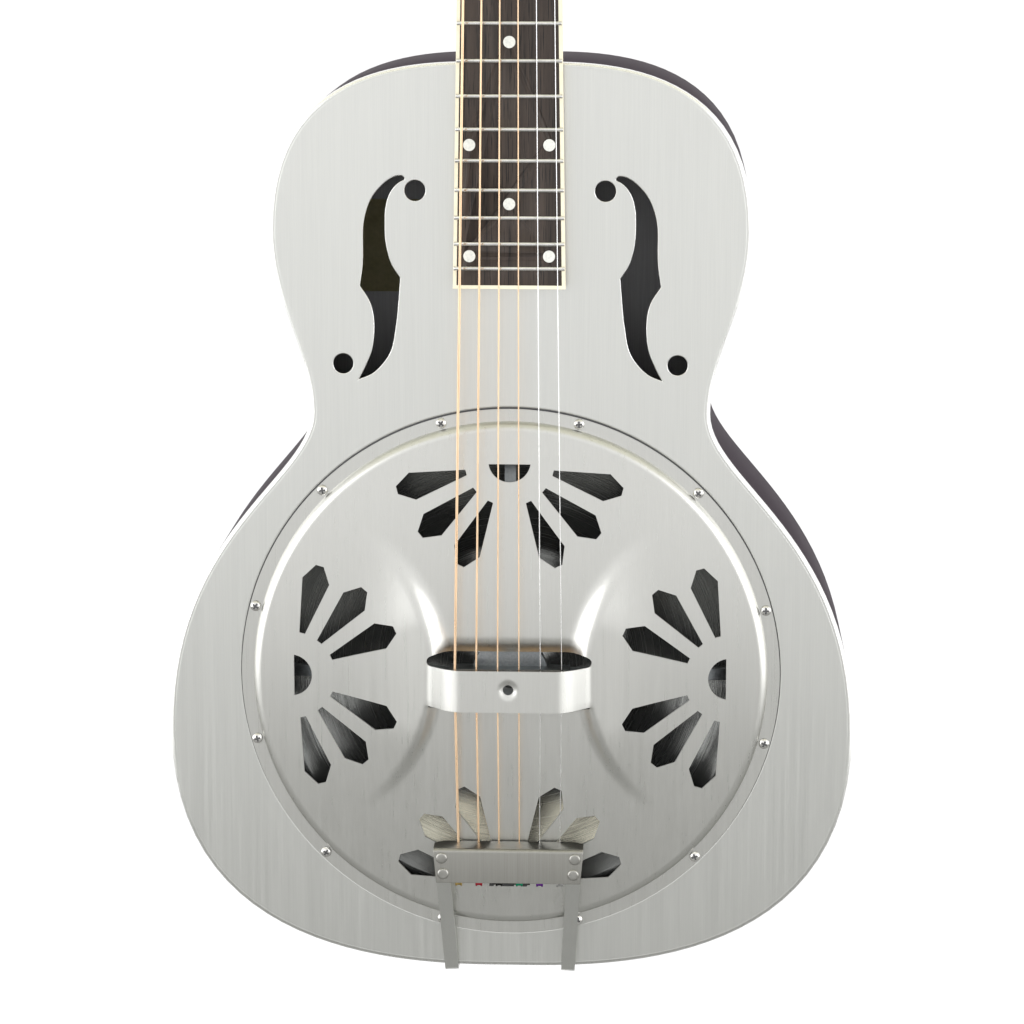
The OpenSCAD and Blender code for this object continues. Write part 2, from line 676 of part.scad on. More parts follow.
// One strap in its own plane: along under the plate, down to the tail edge, then down the tail
module strap_bar() {
    corner = cover_to_tail + LOOSE;
    outer = [[tail_front + 2.2, strap_top], [tail_back - 1, strap_top],
        [corner + 0.3, lift_at_tail + strap_t],
        [corner + strap_t, lift_at_tail - 0.6], [corner + strap_t, -26]];
    inner = [[corner, -26], [corner, lift_at_tail - 1.2], [corner - 1.4, lift_at_tail],
        [tail_back - 1.4, strap_top - strap_t], [tail_front + 2.2, strap_top - strap_t]];
    rotate([90, 0, -90]) linear_extrude(strap_w, center = true) polygon(concat(outer, inner));
}

bracket_edge = [[strap_end_x - strap_w / 2, -18], [strap_end_x + strap_w / 2, -14],
    [strap_end_x + strap_w / 2, -26], [bracket_w / 2 - 8, -bracket_drop + 8],
    [bracket_w / 2 - 14, -bracket_drop]];

module tailpiece_straps() color(STEEL) upright() difference() {
    union() {
        for (s = [0, 1]) mirror([s, 0, 0]) translate([strap_x, -tail_front - 12, 0])
            rotate([0, 0, -strap_angle]) translate([0, tail_front + 12, 0]) strap_bar();
        translate([0, -cover_to_tail - LOOSE, 0]) rotate([90, 0, 0]) linear_extrude(bracket_t)
            polygon([for (s = [-1, 1]) for (i = [0 : 4])
                let (q = bracket_edge[s < 0 ? i : 4 - i]) [s * q[0], q[1]]]);
    }
    rivet_places() translate([0, 0, -PAST - tail_t - strap_t])
        cylinder(r = rivet_shank_r + SNUG, h = strap_t + 2 * PAST);
    translate([0, -cover_to_tail + 10, -end_pin_depth]) rotate([90, 0, 0])
        cylinder(r = end_pin_screw_r + SNUG, h = 20);
}

module tailpiece_pad() color(BLACK) upright()
    translate([-10, -tail_back - 1.6, tail_top - tail_t - 4]) cube([20, 1.6, 3.4]);

module ball_ends() color(BRASS) upright() for (n = [1 : 6])
    translate([string_x(n, tail_spread), ball_y, ball_z]) rotate([0, 90, 0]) difference() {
        cylinder(r = ball_r, h = 3.6, center = true);
        cylinder(r = 0.8, h = 5, center = true);
    }

// ---------- strings ----------

string_over_board = fret_h + 0.5;     // bottom of the strings over the board at the nut
wrap_h = 6.5;                         // height of the windings over the head's face

function string_r(n) = string_d[n - 1] / 2;
function string_x(n, spread) = spread * (3.5 - n) / 5;
function side_of(n) = n <= 3 ? 1 : -1;
function rank_of(n) = n <= 3 ? n - 1 : 6 - n;
function post_place(n) = [side_of(n) * post_x, post_y0 + rank_of(n) * post_pitch];

nut_point_y = nut_s + nut_t / 2;
function at_nut(n) = from_neck([string_x(n, nut_spread), nut_point_y, string_over_board + string_r(n)]);
function at_nut_front(n) = from_neck([string_x(n, nut_spread), nut_s, string_over_board + string_r(n)]);
function at_saddle(n) = [string_x(n, saddle_spread), 0, string_h + string_r(n)];
function at_fold(n) = [string_x(n, tail_spread), -tail_front - tail_t / 2, string_tail_z];
function at_ball(n) = [string_x(n, tail_spread), ball_y + ball_r + 0.1, ball_z];

// Where a string runs up to its winding, on the inner side of the post, in the head's frame
wrap_gap = 0.35;
function head_nut(n) = let (y = -nut_t / 2, z = string_over_board + string_r(n) + board_t)
    [string_x(n, nut_spread), y * cos(head_angle) - z * sin(head_angle),
        y * sin(head_angle) + z * cos(head_angle)];
function at_wrap(n) = let (from = head_nut(n), to = post_place(n), d = [to[0] - from[0], to[1] - from[1]],
    r = post_r + 3 * string_r(n) + wrap_gap, far = norm(d), turn = asin(r / far) * side_of(n),
    reach = sqrt(far * far - r * r) / far)
    [from[0] + reach * (d[0] * cos(turn) - d[1] * sin(turn)),
        from[1] + reach * (d[0] * sin(turn) + d[1] * cos(turn)), wrap_h];

function string_path(n) = [at_ball(n), at_fold(n), at_saddle(n), at_nut_front(n), at_nut(n),
    from_neck(head_to_neck(at_wrap(n)))];

// A thin tube of twelve sides along a path that never turns sharply
module tube(path, r) {
    sides = 12;
    last = len(path) - 1;
    ways = [for (i = [0 : last]) let (a = path[max(0, i - 1)], b = path[min(last, i + 1)])
        (b - a) / norm(b - a)];
    sideways = [for (w = ways) cross(w, [0, 0, 1]) / norm(cross(w, [0, 0, 1]))];
    points = [for (i = [0 : last]) for (k = [0 : sides - 1]) let (a = 360 * (k + 0.5) / sides)
        path[i] + r * (cos(a) * sideways[i] + sin(a) * cross(sideways[i], ways[i]))];
    faces = concat([[for (k = [0 : sides - 1]) k]], [[for (k = [sides - 1 : -1 : 0]) last * sides + k]],
        [for (i = [0 : last - 1]) for (k = [0 : sides - 1]) let (j = (k + 1) % sides)
            [i * sides + k, (i + 1) * sides + k, (i + 1) * sides + j, i * sides + j]]);
    polyhedron(points, faces, convexity = 4);
}
module strings() color(BRONZE) upright() for (n = [1 : 6]) tube(string_path(n), string_r(n));

// A slot with a flat floor that carries string n; the floor lies at floor_z and the slot opens upwards
module string_slot(x, n, floor_z, y, l) translate([x - string_r(n) - SLOT, y, floor_z])
    cube([2 * (string_r(n) + SLOT), l, 20]);

// ---------- neck ----------

neck_d = nut_thickness - board_t;      // depth of the neck under the board at the nut
joint_gap = 0.6;                       // the heel stands this far off the body's highest edge
heel_l = 62;
neck_swell = 2.4;                      // extra depth of the neck near the body

function board_w(s) = nut_w + (board_end_w - nut_w) * (nut_s - s) / (nut_s + board_overlap);
flare = 34;                            // the head widens over this length
crown = 16;                            // length of its rounded top
function head_half(y) = y < flare ? nut_w / 2 + (head_w - nut_w) / 2 * ease(y / flare)
    : y > head_l - crown ? head_w / 2 * sqrt(1 - 0.8 * ((y - head_l + crown) / crown) ^ 2) : head_w / 2;

// Sections of the neck: [place, tilt, half width, depth, squareness]; the head's come in its own frame
heel_places = heel_l * [0, 0.05, 0.11, 0.19, 0.29, 0.42, 0.58, 0.77, 1];
shaft_places = nut_s * [0.31, 0.5, 0.69, 0.88];
head_places = concat(flare * [0.02, 0.15, 0.3, 0.47, 0.65, 0.82, 1], head_l * [0.35, 0.64],
    [for (u = [1, 0.69, 0.44, 0.22, 0.09, 0]) head_l - crown * u]);

function depth_at(s) = neck_d + neck_swell * (1 - s / nut_s)
    + (heel_d - board_t - neck_d - neck_swell) * max(0, 1 - s / heel_l) ^ 2.2;
function neck_section(s, tilt, w, d, p) = [for (i = [0 : 24]) let (a = 7.5 * i,
    x = w * sign(cos(a)) * abs(cos(a)) ^ (2 / p), z = -d * abs(sin(a)) ^ (2 / p))
    [x, s - z * sin(tilt), -board_t + z * cos(tilt)]];
function head_section(y, w, d, p) = [for (i = [0 : 24]) let (a = 7.5 * i,
    x = w * sign(cos(a)) * abs(cos(a)) ^ (2 / p), z = -d * abs(sin(a)) ^ (2 / p))
    head_to_neck([x, y, z - veneer_t])];

module neck_loft() {
    heel = [for (s = heel_places)
        neck_section(s + joint_gap, neck_tilt * (1 - s / heel_l), board_w(s) / 2, depth_at(s),
            s < heel_l / 2 ? 1.8 : 2)];
    shaft = [for (s = shaft_places) neck_section(s, 0, board_w(s) / 2, depth_at(s), 2)];
    at_nut = [for (s = [nut_s - 8, nut_s + nut_t - 0.4]) neck_section(s, 0, nut_w / 2, neck_d, 2.1)];
    head = [for (y = head_places) let (u = ease(y / flare))
        head_section(y, head_half(y), neck_d - veneer_t + (head_t - neck_d + veneer_t) * u,
            2.1 + 22 * u ^ 2)];
    rings = concat(heel, shaft, at_nut, head);
    n = 25;
    count = len(rings);
    cells = [for (k = [0 : count - 2]) for (i = [0 : n - 1]) [k * n + i, k * n + (i + 1) % n]];
    faces = concat([[for (i = [0 : n - 1]) i]], [[for (i = [n - 1 : -1 : 0]) (count - 1) * n + i]],
        [for (c = cells) [c[0], c[1] + n, c[1]]], [for (c = cells) [c[0], c[0] + n, c[1] + n]]);
    polyhedron([for (r = rings) for (q = r) q], faces, convexity = 8);
}

rod_z = -board_t - 6.5;
channel_w = 2 * rod_r + 0.4;
pocket_l = 16;
pocket_w = 10;

// The wood under the board's end lies on the body
module board_support() intersection() {
    near = board_w(0) / 2 - 0.4;
    far = board_w(-board_overlap) / 2 - 0.4;
    head_side = from_neck([0, 2, -board_t]);
    tail_side = from_neck([0, -board_overlap, -board_t]);
    tail_y = body_top_y - board_overlap;
    translate([0, 0, -board_h]) linear_extrude(2 * board_h)
        polygon([[-far, tail_y + 1], [far, tail_y + 1], [near, body_top_y + 2], [-near, body_top_y + 2]]);
    rotate([90, 0, 90]) linear_extrude(2 * board_end_w, center = true)
        polygon([[tail_y, 0], [body_top_y + 2, 0], [head_side[1], head_side[2]],
            [tail_side[1], tail_side[2]]]);
}

module neck() color(NECK_WOOD) upright() difference() {
    union() {
        on_neck() neck_loft();
        board_support();
    }
    on_neck() translate([-channel_w / 2, 20, rod_z - rod_r - 0.2])
        cube([channel_w, nut_s + nut_t - 20 + 6, 30]);
    on_head() translate([-pocket_w / 2, 0.9, -veneer_t - 9]) cube([pocket_w, pocket_l, 20]);
    for (n = [1 : 6]) on_head() translate([post_place(n)[0], post_place(n)[1], -40])
        cylinder(r = bushing_r + SNUG, h = 60);
    on_head() machine_screw_places() cylinder(r = 1.25, h = 9);
    on_head() cover_screw_spots() translate([0, 0, -9]) cylinder(r = 0.95, h = 12);
    translate([-tenon_w / 2 - SEAM, body_top_y - PAST, stick_top - tenon_h - SEAM])
        cube([tenon_w + 2 * SEAM, tenon_l + PAST + 0.4, tenon_h + 2 * SEAM]);
}

module board_plan(start, inset) polygon([
    [-board_w(start) / 2 + inset, start], [board_w(start) / 2 - inset, start],
    [nut_w / 2 - inset, nut_s], [-nut_w / 2 + inset, nut_s]]);

function fret_s(n) = nut_s - scale_l * (1 - 2 ^ (-n / 12));
function between_frets(n) = (fret_s(n) + fret_s(n - 1)) / 2;
single_dots = [5, 9, 12, 17];
double_dots = [7, 15, 19];
double_dot_x = 20.4;
dot_t = 1.5;

module dot_places() {
    for (n = single_dots) translate([0, between_frets(n), 0]) children();
    for (n = double_dots) for (s = [-1, 1])
        translate([s * double_dot_x * (n == 7 ? board_w(between_frets(7)) / board_w(between_frets(15)) : 1),
            between_frets(n), 0]) children();
}

module fingerboard() color(BOARD_WOOD) upright() on_neck() difference() {
    translate([0, 0, -board_t]) linear_extrude(board_t)
        board_plan(-board_overlap + binding_w + 0.02, binding_w + 0.02);
    dot_places() translate([0, 0, -dot_t]) cylinder(r = dot_r + SNUG, h = dot_t + PAST);
}

module board_binding() color(IVORY) upright() on_neck() translate([0, 0, -board_t])
    linear_extrude(board_t) difference() {
        board_plan(-board_overlap, 0);
        board_plan(-board_overlap + binding_w, binding_w);
    }

module inlay_dots() color(PEARL) upright() on_neck() dot_places()
    translate([0, 0, -dot_t]) cylinder(r = dot_r, h = dot_t);

// A fret's crown: a low arc that stands on the board
module fret_crown(l) rotate([90, 0, 90]) linear_extrude(l, center = true)
    polygon([for (i = [0 : 8]) let (a = 180 * i / 8) [fret_w / 2 * cos(a), fret_h * sin(a)]]);
module frets() color(NICKEL) upright() on_neck() for (n = [1 : fret_count])
    translate([0, fret_s(n), 0]) fret_crown(board_w(fret_s(n)) - 0.6);

module nut() color(IVORY) upright() difference() {
    on_neck() translate([0, nut_s, -board_t]) rotate([90, 0, 90]) linear_extrude(nut_w - 0.4, center = true)
        polygon([[0.05, 0], [nut_t - 0.5, 0], [nut_t - 0.5, board_t + 1.2], [nut_t - 1.4, board_t + 2.1],
            [0.05, board_t + 2.6]]);
    for (n = [1 : 6]) on_neck()
        string_slot(string_x(n, nut_spread), n, string_over_board - LOOSE, nut_s - PAST, nut_t + 2 * PAST);
}

module truss_rod() color(NICKEL) upright() on_neck() translate([0, 22, rod_z]) rotate([-90, 0, 0])
    cylinder(r = rod_r, h = nut_s + nut_t + 1 - 22);

module truss_nut() color(BRASS) upright() on_neck()
    translate([0, nut_s + nut_t + 1.3, rod_z]) rotate([-90, 0, 0])
    difference() {
        cylinder(r = 3.4, h = 7);
        translate([0, 0, 2]) cylinder(r = 2.1, h = 6, $fn = 6);
    }

cover_plate_l = 34;
cover_plate_w = 21;
cover_plate_t = 1.6;
cover_plate_y = 1;
module cover_screw_spots() for (q = [[-7.7, 5], [7.7, 5], [0, cover_plate_l - 4.5]])
    translate([q[0], cover_plate_y + q[1], 0]) children();

module truss_cover() color(BLACK) upright() on_head() difference() {
    linear_extrude(cover_plate_t) {
        translate([0, cover_plate_y]) polygon([[-cover_plate_w / 2, 0], [cover_plate_w / 2, 0],
            [cover_plate_w / 2, 9], [5, cover_plate_l - 5], [-5, cover_plate_l - 5],
            [-cover_plate_w / 2, 9]]);
        translate([0, cover_plate_y + cover_plate_l - 5]) circle(r = 5);
    }
    cover_screw_spots() translate([0, 0, -PAST]) cylinder(r = 0.95, h = 5);
}

module truss_cover_screws() color(NICKEL) upright() on_head() cover_screw_spots()
    translate([0, 0, cover_plate_t]) pan_screw(1.9, 0.9, 6.5, 1);

// ---------- head ----------

bushing_r = 4.6;
bushing_l = 9;

module head_veneer() color(BLACK) upright() on_head() difference() {
    translate([0, 0, -veneer_t]) linear_extrude(veneer_t) polygon(concat(
        [for (y = head_places) [head_half(y), y]],
        [for (i = [len(head_places) - 1 : -1 : 0]) [-head_half(head_places[i]), head_places[i]]]));
    for (n = [1 : 6]) translate([post_place(n)[0], post_place(n)[1], -10])
        cylinder(r = bushing_r + SNUG, h = 20);
    translate([-pocket_w / 2, -PAST, -veneer_t - PAST]) cube([pocket_w, pocket_l + 0.9 + PAST, 20]);
    cover_screw_spots() translate([0, 0, -9]) cylinder(r = 0.95, h = 20);
}

// ---------- tuning machines ----------

wheel_r = wheel_teeth * gear_module / 2;
centre_distance = wheel_r + worm_pitch_r;
worm_lead = PI * gear_module;
tooth_over = 0.5;                  // tooth height over the pitch circle
tooth_under = 0.72;                // tooth depth under the pitch circle
tooth_half = [0.42, 0.31, 0.2];    // half thickness of a tooth or thread at foot, pitch circle and tip
wheel_t = 4;
plate_back = -veneer_t - head_t - machine_plate_t;
key_z = plate_back - worm_pitch_r - tooth_over - LOOSE;
wheel_top = key_z + wheel_t / 2;
ear_x = 6.5;                       // ears from the post's middle, along the key shaft
ear_t = 1.5;
ear_w = 7;
worm_turns = 3;
worm_steps = 20;                   // sides of the worm's thread for a whole turn
button_gap = 1;                    // between the head's edge and a button's collar
key_out = head_w / 2 - post_x + button_gap;

module post_axis(n) translate([post_place(n)[0], post_place(n)[1], 0]) children();

// Wheel with straight teeth; one tooth points to the worm
module wheel() translate([0, 0, wheel_top - wheel_t]) linear_extrude(wheel_t) {
    polygon([for (i = [0 : wheel_teeth - 1]) let (a = -90 + 360 / wheel_teeth * i)
        for (q = [[-tooth_under, -tooth_half[0]], [0, -tooth_half[1]], [tooth_over, -tooth_half[2]],
            [tooth_over, tooth_half[2]], [0, tooth_half[1]], [-tooth_under, tooth_half[0]]])
        [(wheel_r + q[0]) * cos(a) - q[1] * sin(a), (wheel_r + q[0]) * sin(a) + q[1] * cos(a)]]);
}

module tuner_post(n) color(NICKEL) upright() on_head() post_axis(n) {
    difference() {
        union() {
            translate([0, 0, wheel_top - wheel_t + 0.5])
                cylinder(r = post_r, h = post_h - wheel_top + wheel_t - 1.3);
            translate([0, 0, post_h - 0.8]) cylinder(r1 = post_r, r2 = post_r - 0.6, h = 0.8);
        }
        translate([0, 0, wrap_h + 2.6]) rotate([90, 0, 0])
            cylinder(r = 0.85, h = 4 * post_r, center = true, $fn = 24);
    }
    wheel();
    translate([0, 0, wheel_top - 0.2]) cylinder(r = post_r + 1, h = plate_back - LOOSE - wheel_top + 0.2);
    translate([0, 0, wheel_top - wheel_t - 1.4]) difference() {
        cylinder(r = 2.9, h = 1.4);
        translate([-3, -0.35, -PAST]) cube([6, 0.7, PAST + 0.8]);
    }
}

module string_winding(n) color(BRONZE) upright() on_head() post_axis(n) rotate_extrude()
    for (i = [-2 : 1]) translate([post_r + string_r(n) + 0.02, wrap_h + i * (string_d[n - 1] + 0.04)])
        circle(r = string_r(n), $fn = 16);

// The thread of the worm about the X axis, right-handed; a gap lies where the wheel's tooth points
module worm_thread() {
    foot = key_r - 0.15;
    tip = worm_pitch_r + tooth_over;
    count = worm_turns * worm_steps;
    section = [[foot, -tooth_half[0]], [tip, -tooth_half[2]], [tip, tooth_half[2]], [foot, tooth_half[0]]];
    points = [for (i = [0 : count]) let (a = 360 * i / worm_steps - 180 * worm_turns + 180) for (q = section)
        [q[1] + worm_lead * (a / 360 - 0.5), q[0] * cos(a), q[0] * sin(a)]];
    faces = concat([[3, 2, 1, 0]], [[for (j = [0 : 3]) count * 4 + j]],
        [for (i = [0 : count - 1]) for (j = [0 : 3])
            [i * 4 + j, i * 4 + (j + 1) % 4, (i + 1) * 4 + (j + 1) % 4]],
        [for (i = [0 : count - 1]) for (j = [0 : 3])
            [i * 4 + j, (i + 1) * 4 + (j + 1) % 4, (i + 1) * 4 + j]]);
    polyhedron(points, faces, convexity = 6);
}

module key_axis(n) post_axis(n) translate([0, -centre_distance, key_z]) children();

module tuner_worm(n) color(NICKEL) upright() on_head() key_axis(n) {
    worm_thread();
    mirror([side_of(n) < 0 ? 1 : 0, 0, 0]) rotate([0, 90, 0]) {
        translate([0, 0, -ear_x - ear_t]) cylinder(r = key_r, h = ear_x + ear_t + key_out + 9);
        translate([0, 0, key_out - 3]) cylinder(r = key_r + 0.9, h = 2.4);
    }
}

// A kidney-shaped button; its thickness is rounded towards the rim
module tuner_button(n) color(IVORY) upright() on_head() key_axis(n) mirror([side_of(n) < 0 ? 1 : 0, 0, 0])
    translate([key_out, 0, 0]) difference() {
        union() {
            rotate([0, 90, 0]) cylinder(r = 3.6, h = 4);
            intersection() {
                translate([3 + (button_l - 3) / 2, 0, 0]) scale([(button_l - 3) / button_w, 1, 1])
                    cylinder(r = button_w / 2, h = button_t, center = true);
                translate([button_l / 2, 0, 0]) sphere(r = button_w * 0.56, $fn = 48);
            }
        }
        rotate([0, 90, 0]) translate([0, 0, -PAST]) cylinder(r = key_r + 0.03, h = 9.2 + PAST);
    }

plate_w = 2 * ear_x + 2 * ear_t;
plate_end = 17;                    // plates run this far past the first and last posts
screw_y = [-plate_end + 3, post_pitch / 2 - 1, post_pitch * 1.5 - 1, 2 * post_pitch + 10];

module machine_screw_places() for (s = [-1, 1]) for (y = screw_y)
    translate([s * post_x, post_y0 + y, -veneer_t - head_t]) children();

module tuner_plates() color(NICKEL) upright() on_head() difference() {
    union() {
        for (s = [-1, 1]) translate([s * post_x - plate_w / 2, post_y0 - plate_end, plate_back])
            cube([plate_w, 2 * plate_end + 2 * post_pitch - 3, machine_plate_t]);
        for (n = [1 : 6]) key_axis(n) for (s = [-1, 1])
            translate([s * (ear_x + ear_t / 2) - ear_t / 2, -ear_w / 2, -ear_w / 2])
            cube([ear_t, ear_w, plate_back - key_z + ear_w / 2 + 0.5]);
    }
    for (n = [1 : 6]) post_axis(n) translate([0, 0, -30]) cylinder(r = post_r + RUNNING, h = 40);
    for (n = [1 : 6]) key_axis(n) rotate([0, 90, 0]) cylinder(r = key_r + RUNNING, h = 40, center = true);
    machine_screw_places() translate([0, 0, -5]) cylinder(r = 1.25, h = 10);
}

module tuner_screws() color(NICKEL) upright() on_head() machine_screw_places()
    translate([0, 0, -machine_plate_t]) rotate([180, 0, 0]) pan_screw(2.3, 1.2, 9, 1.2);

module tuner_bushings() color(NICKEL) upright() on_head() for (n = [1 : 6]) post_axis(n) difference() {
    union() {
        translate([0, 0, -bushing_l]) cylinder(r = bushing_r, h = bushing_l);
        cylinder(r1 = 6.6, r2 = 6, h = 1.2);
    }
    translate([0, 0, -bushing_l - PAST]) cylinder(r = post_r + RUNNING, h = bushing_l + 4);
}

top_plate();
body_sides();
back_plate();
interior_label();
coverplate();
coverplate_screws();
soundwell();
resonator_cone();
spider_bridge();
saddles();
tension_screw();
neck_stick();
stick_blocks();
end_block();
end_pin();
tailpiece();
tailpiece_straps();
tailpiece_rivets();
tailpiece_pad();
ball_ends();
strings();
neck();
fingerboard();
board_binding();
frets();
inlay_dots();
nut();
truss_rod();
truss_nut();
truss_cover();
truss_cover_screws();
head_veneer();
tuner_plates();
tuner_bushings();
tuner_screws();
tuner_post(1);  // tuner_post_1
tuner_post(2);  // tuner_post_2
tuner_post(3);  // tuner_post_3
tuner_post(4);  // tuner_post_4
tuner_post(5);  // tuner_post_5
tuner_post(6);  // tuner_post_6
tuner_worm(1);  // tuner_worm_1
tuner_worm(2);  // tuner_worm_2
tuner_worm(3);  // tuner_worm_3
tuner_worm(4);  // tuner_worm_4
tuner_worm(5);  // tuner_worm_5
tuner_worm(6);  // tuner_worm_6
tuner_button(1);  // tuner_button_1
tuner_button(2);  // tuner_button_2
tuner_button(3);  // tuner_button_3
tuner_button(4);  // tuner_button_4
tuner_button(5);  // tuner_button_5
tuner_button(6);  // tuner_button_6
string_winding(1);  // string_winding_1
string_winding(2);  // string_winding_2
string_winding(3);  // string_winding_3
string_winding(4);  // string_winding_4
string_winding(5);  // string_winding_5
string_winding(6);  // string_winding_6
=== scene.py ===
# %% [markdown]
# A resonator guitar, dressed
# This lesson takes the finished construction of a round-neck resonator guitar and gives it its looks: new
# meshes where sheet metal and wire need softer shapes, and a finish of shader nodes for every surface.
# The frame comes first. It holds every part at its real size, and nothing here moves or resizes it.
import json
import math

import bpy
from mathutils import Matrix, Vector

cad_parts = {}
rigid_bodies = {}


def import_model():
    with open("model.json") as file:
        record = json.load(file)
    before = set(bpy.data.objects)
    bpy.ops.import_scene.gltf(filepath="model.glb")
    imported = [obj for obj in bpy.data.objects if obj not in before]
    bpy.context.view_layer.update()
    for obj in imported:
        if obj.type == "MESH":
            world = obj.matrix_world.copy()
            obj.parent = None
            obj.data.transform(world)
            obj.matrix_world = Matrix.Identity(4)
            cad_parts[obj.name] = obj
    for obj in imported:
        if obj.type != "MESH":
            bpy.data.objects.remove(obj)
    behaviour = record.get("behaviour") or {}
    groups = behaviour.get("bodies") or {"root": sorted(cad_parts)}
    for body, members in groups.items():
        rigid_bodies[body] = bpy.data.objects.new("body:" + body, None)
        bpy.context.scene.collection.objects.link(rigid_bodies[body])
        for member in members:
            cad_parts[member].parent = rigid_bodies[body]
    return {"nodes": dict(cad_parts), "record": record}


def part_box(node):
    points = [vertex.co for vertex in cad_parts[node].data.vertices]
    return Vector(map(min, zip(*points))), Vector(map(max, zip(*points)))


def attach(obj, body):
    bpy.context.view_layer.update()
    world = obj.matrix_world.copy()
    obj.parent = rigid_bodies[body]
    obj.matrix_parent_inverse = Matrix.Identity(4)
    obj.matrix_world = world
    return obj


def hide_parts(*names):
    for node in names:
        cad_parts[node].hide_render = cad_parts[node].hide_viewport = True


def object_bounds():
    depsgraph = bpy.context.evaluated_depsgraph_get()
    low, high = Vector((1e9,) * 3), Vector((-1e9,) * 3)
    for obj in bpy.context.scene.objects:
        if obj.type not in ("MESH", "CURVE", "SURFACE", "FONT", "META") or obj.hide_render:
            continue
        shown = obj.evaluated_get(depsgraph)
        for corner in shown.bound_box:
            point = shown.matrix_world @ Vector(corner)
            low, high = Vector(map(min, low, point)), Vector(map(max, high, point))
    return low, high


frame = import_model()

cad_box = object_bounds()
nodes = frame["nodes"]
MM = 0.001
print("nodes:", len(nodes), "box:", [[round(v, 4) for v in corner] for corner in cad_box])

# %% [markdown]
# Camera
# The guitar is seen a little from above and a little from its treble side, through a long lens, so that the
# body fills the picture and the neck leaves it at the top. The camera looks at a point on the top sheet
# between the cover plate and the end of the fingerboard.

# %% Camera
cover_low, cover_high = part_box("coverplate")
cover_middle = (cover_low + cover_high) / 2
top_sheet_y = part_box("top_plate")[1].y - 1 * MM
aim = Vector((1 * MM, top_sheet_y, cover_middle.z + 87 * MM))
camera_way = Vector((0.0428, -0.9807, 0.1908)).normalized()
camera_distance = 1.83
focal_ratio = 3508 / 1024  # the lens's focal length over the width of its sensor
lens = bpy.data.cameras.new("camera")
lens.sensor_width = 36
lens.lens = focal_ratio * lens.sensor_width
lens.clip_end = 100
camera = bpy.data.objects.new("camera", lens)
bpy.context.scene.collection.objects.link(camera)
camera.location = aim + camera_way * camera_distance
camera.rotation_euler = (-camera_way).to_track_quat("-Z", "Y").to_euler()
bpy.context.scene.camera = camera
print("camera at", [round(v, 3) for v in camera.location])

# %% [markdown]
# Studio
# Brushed metal shows the room more than itself. A pale room lights it softly: a white world all round, a
# long lamp on each side, and a pale floor. Grey cards hang over the guitar and lie under it, where only
# mirrored light meets them. Metal that faces up or down mirrors the cards, which draws rims and beads.

# %% Studio
world = bpy.data.worlds.new("studio")
bpy.context.scene.world = world
world.use_nodes = True
world.node_tree.nodes["Background"].inputs["Color"].default_value = (1, 1, 1, 1)
world.node_tree.nodes["Background"].inputs["Strength"].default_value = 1.12
bpy.context.scene.view_settings.view_transform = "Standard"
floor_z = cad_box[0][2] - 0.42


def soft_box(name, place, target, size, power):
    """A broad lamp at place that looks at target."""
    lamp = bpy.data.lights.new(name, "AREA")
    lamp.shape = "RECTANGLE"
    lamp.size, lamp.size_y = size
    lamp.energy = power
    holder = bpy.data.objects.new(name, lamp)
    bpy.context.scene.collection.objects.link(holder)
    holder.location = place
    holder.visible_camera = False
    way = Vector(target) - Vector(place)
    holder.rotation_euler = way.to_track_quat("-Z", "Y").to_euler()


def stage_sheet(name, place, size):
    """A flat sheet of the studio, which is no part of the guitar."""
    bpy.ops.object.select_all(action="DESELECT")
    bpy.ops.mesh.primitive_plane_add(size=1, location=place)
    sheet = bpy.context.object
    sheet.scale = (*size, 1)
    bpy.ops.object.transform_apply(location=True, scale=True)
    sheet.name = name
    return sheet


def card(name, height, size):
    """A grey sheet that only mirrored light meets."""
    sheet = stage_sheet(name, (0, 0.35 - size[1] / 2, height), size)
    sheet.visible_camera = sheet.visible_diffuse = sheet.visible_shadow = False
    return sheet


for side in (-1, 1):
    soft_box("side_box", (2.4 * side, -1.5, -0.3), (0, -0.3, aim.z), (3.3, 2.4), 41)
floor = stage_sheet("floor", (0, 0, floor_z), (60, 60))
low_card = card("low_card", floor_z + 0.02, (4, 2.9))
high_card = card("high_card", 1.0, (3.4, 2.2))


# %% [markdown]
# Sums in shader nodes
# A pattern is a sum of noises and masks. Written as Python, such a sum stays readable, so a small class
# wraps a node's output and turns Python's operators into Math nodes.

# %% Shader maths
class Wire:
    """A node's output. Python's operators on it add Math nodes."""

    def __init__(self, finish, socket):
        self.finish = finish
        self.socket = socket

    def maths(self, operation, *others):
        values = dict(enumerate((self,) + others))
        return self.finish.node("ShaderNodeMath", {"operation": operation}, values)

    def __add__(self, other):
        return self.maths("ADD", other)

    def __mul__(self, other):
        return self.maths("MULTIPLY", other)

    def __rsub__(self, other):
        return self.finish.node("ShaderNodeMath", {"operation": "SUBTRACT"}, {0: other, 1: self})


# %% [markdown]
# One finish, one material
# A second class holds one material and adds any other node to it: the node's own settings first, then its
# sockets. The patterns that many finishes share, such as stretched noise, are its methods.

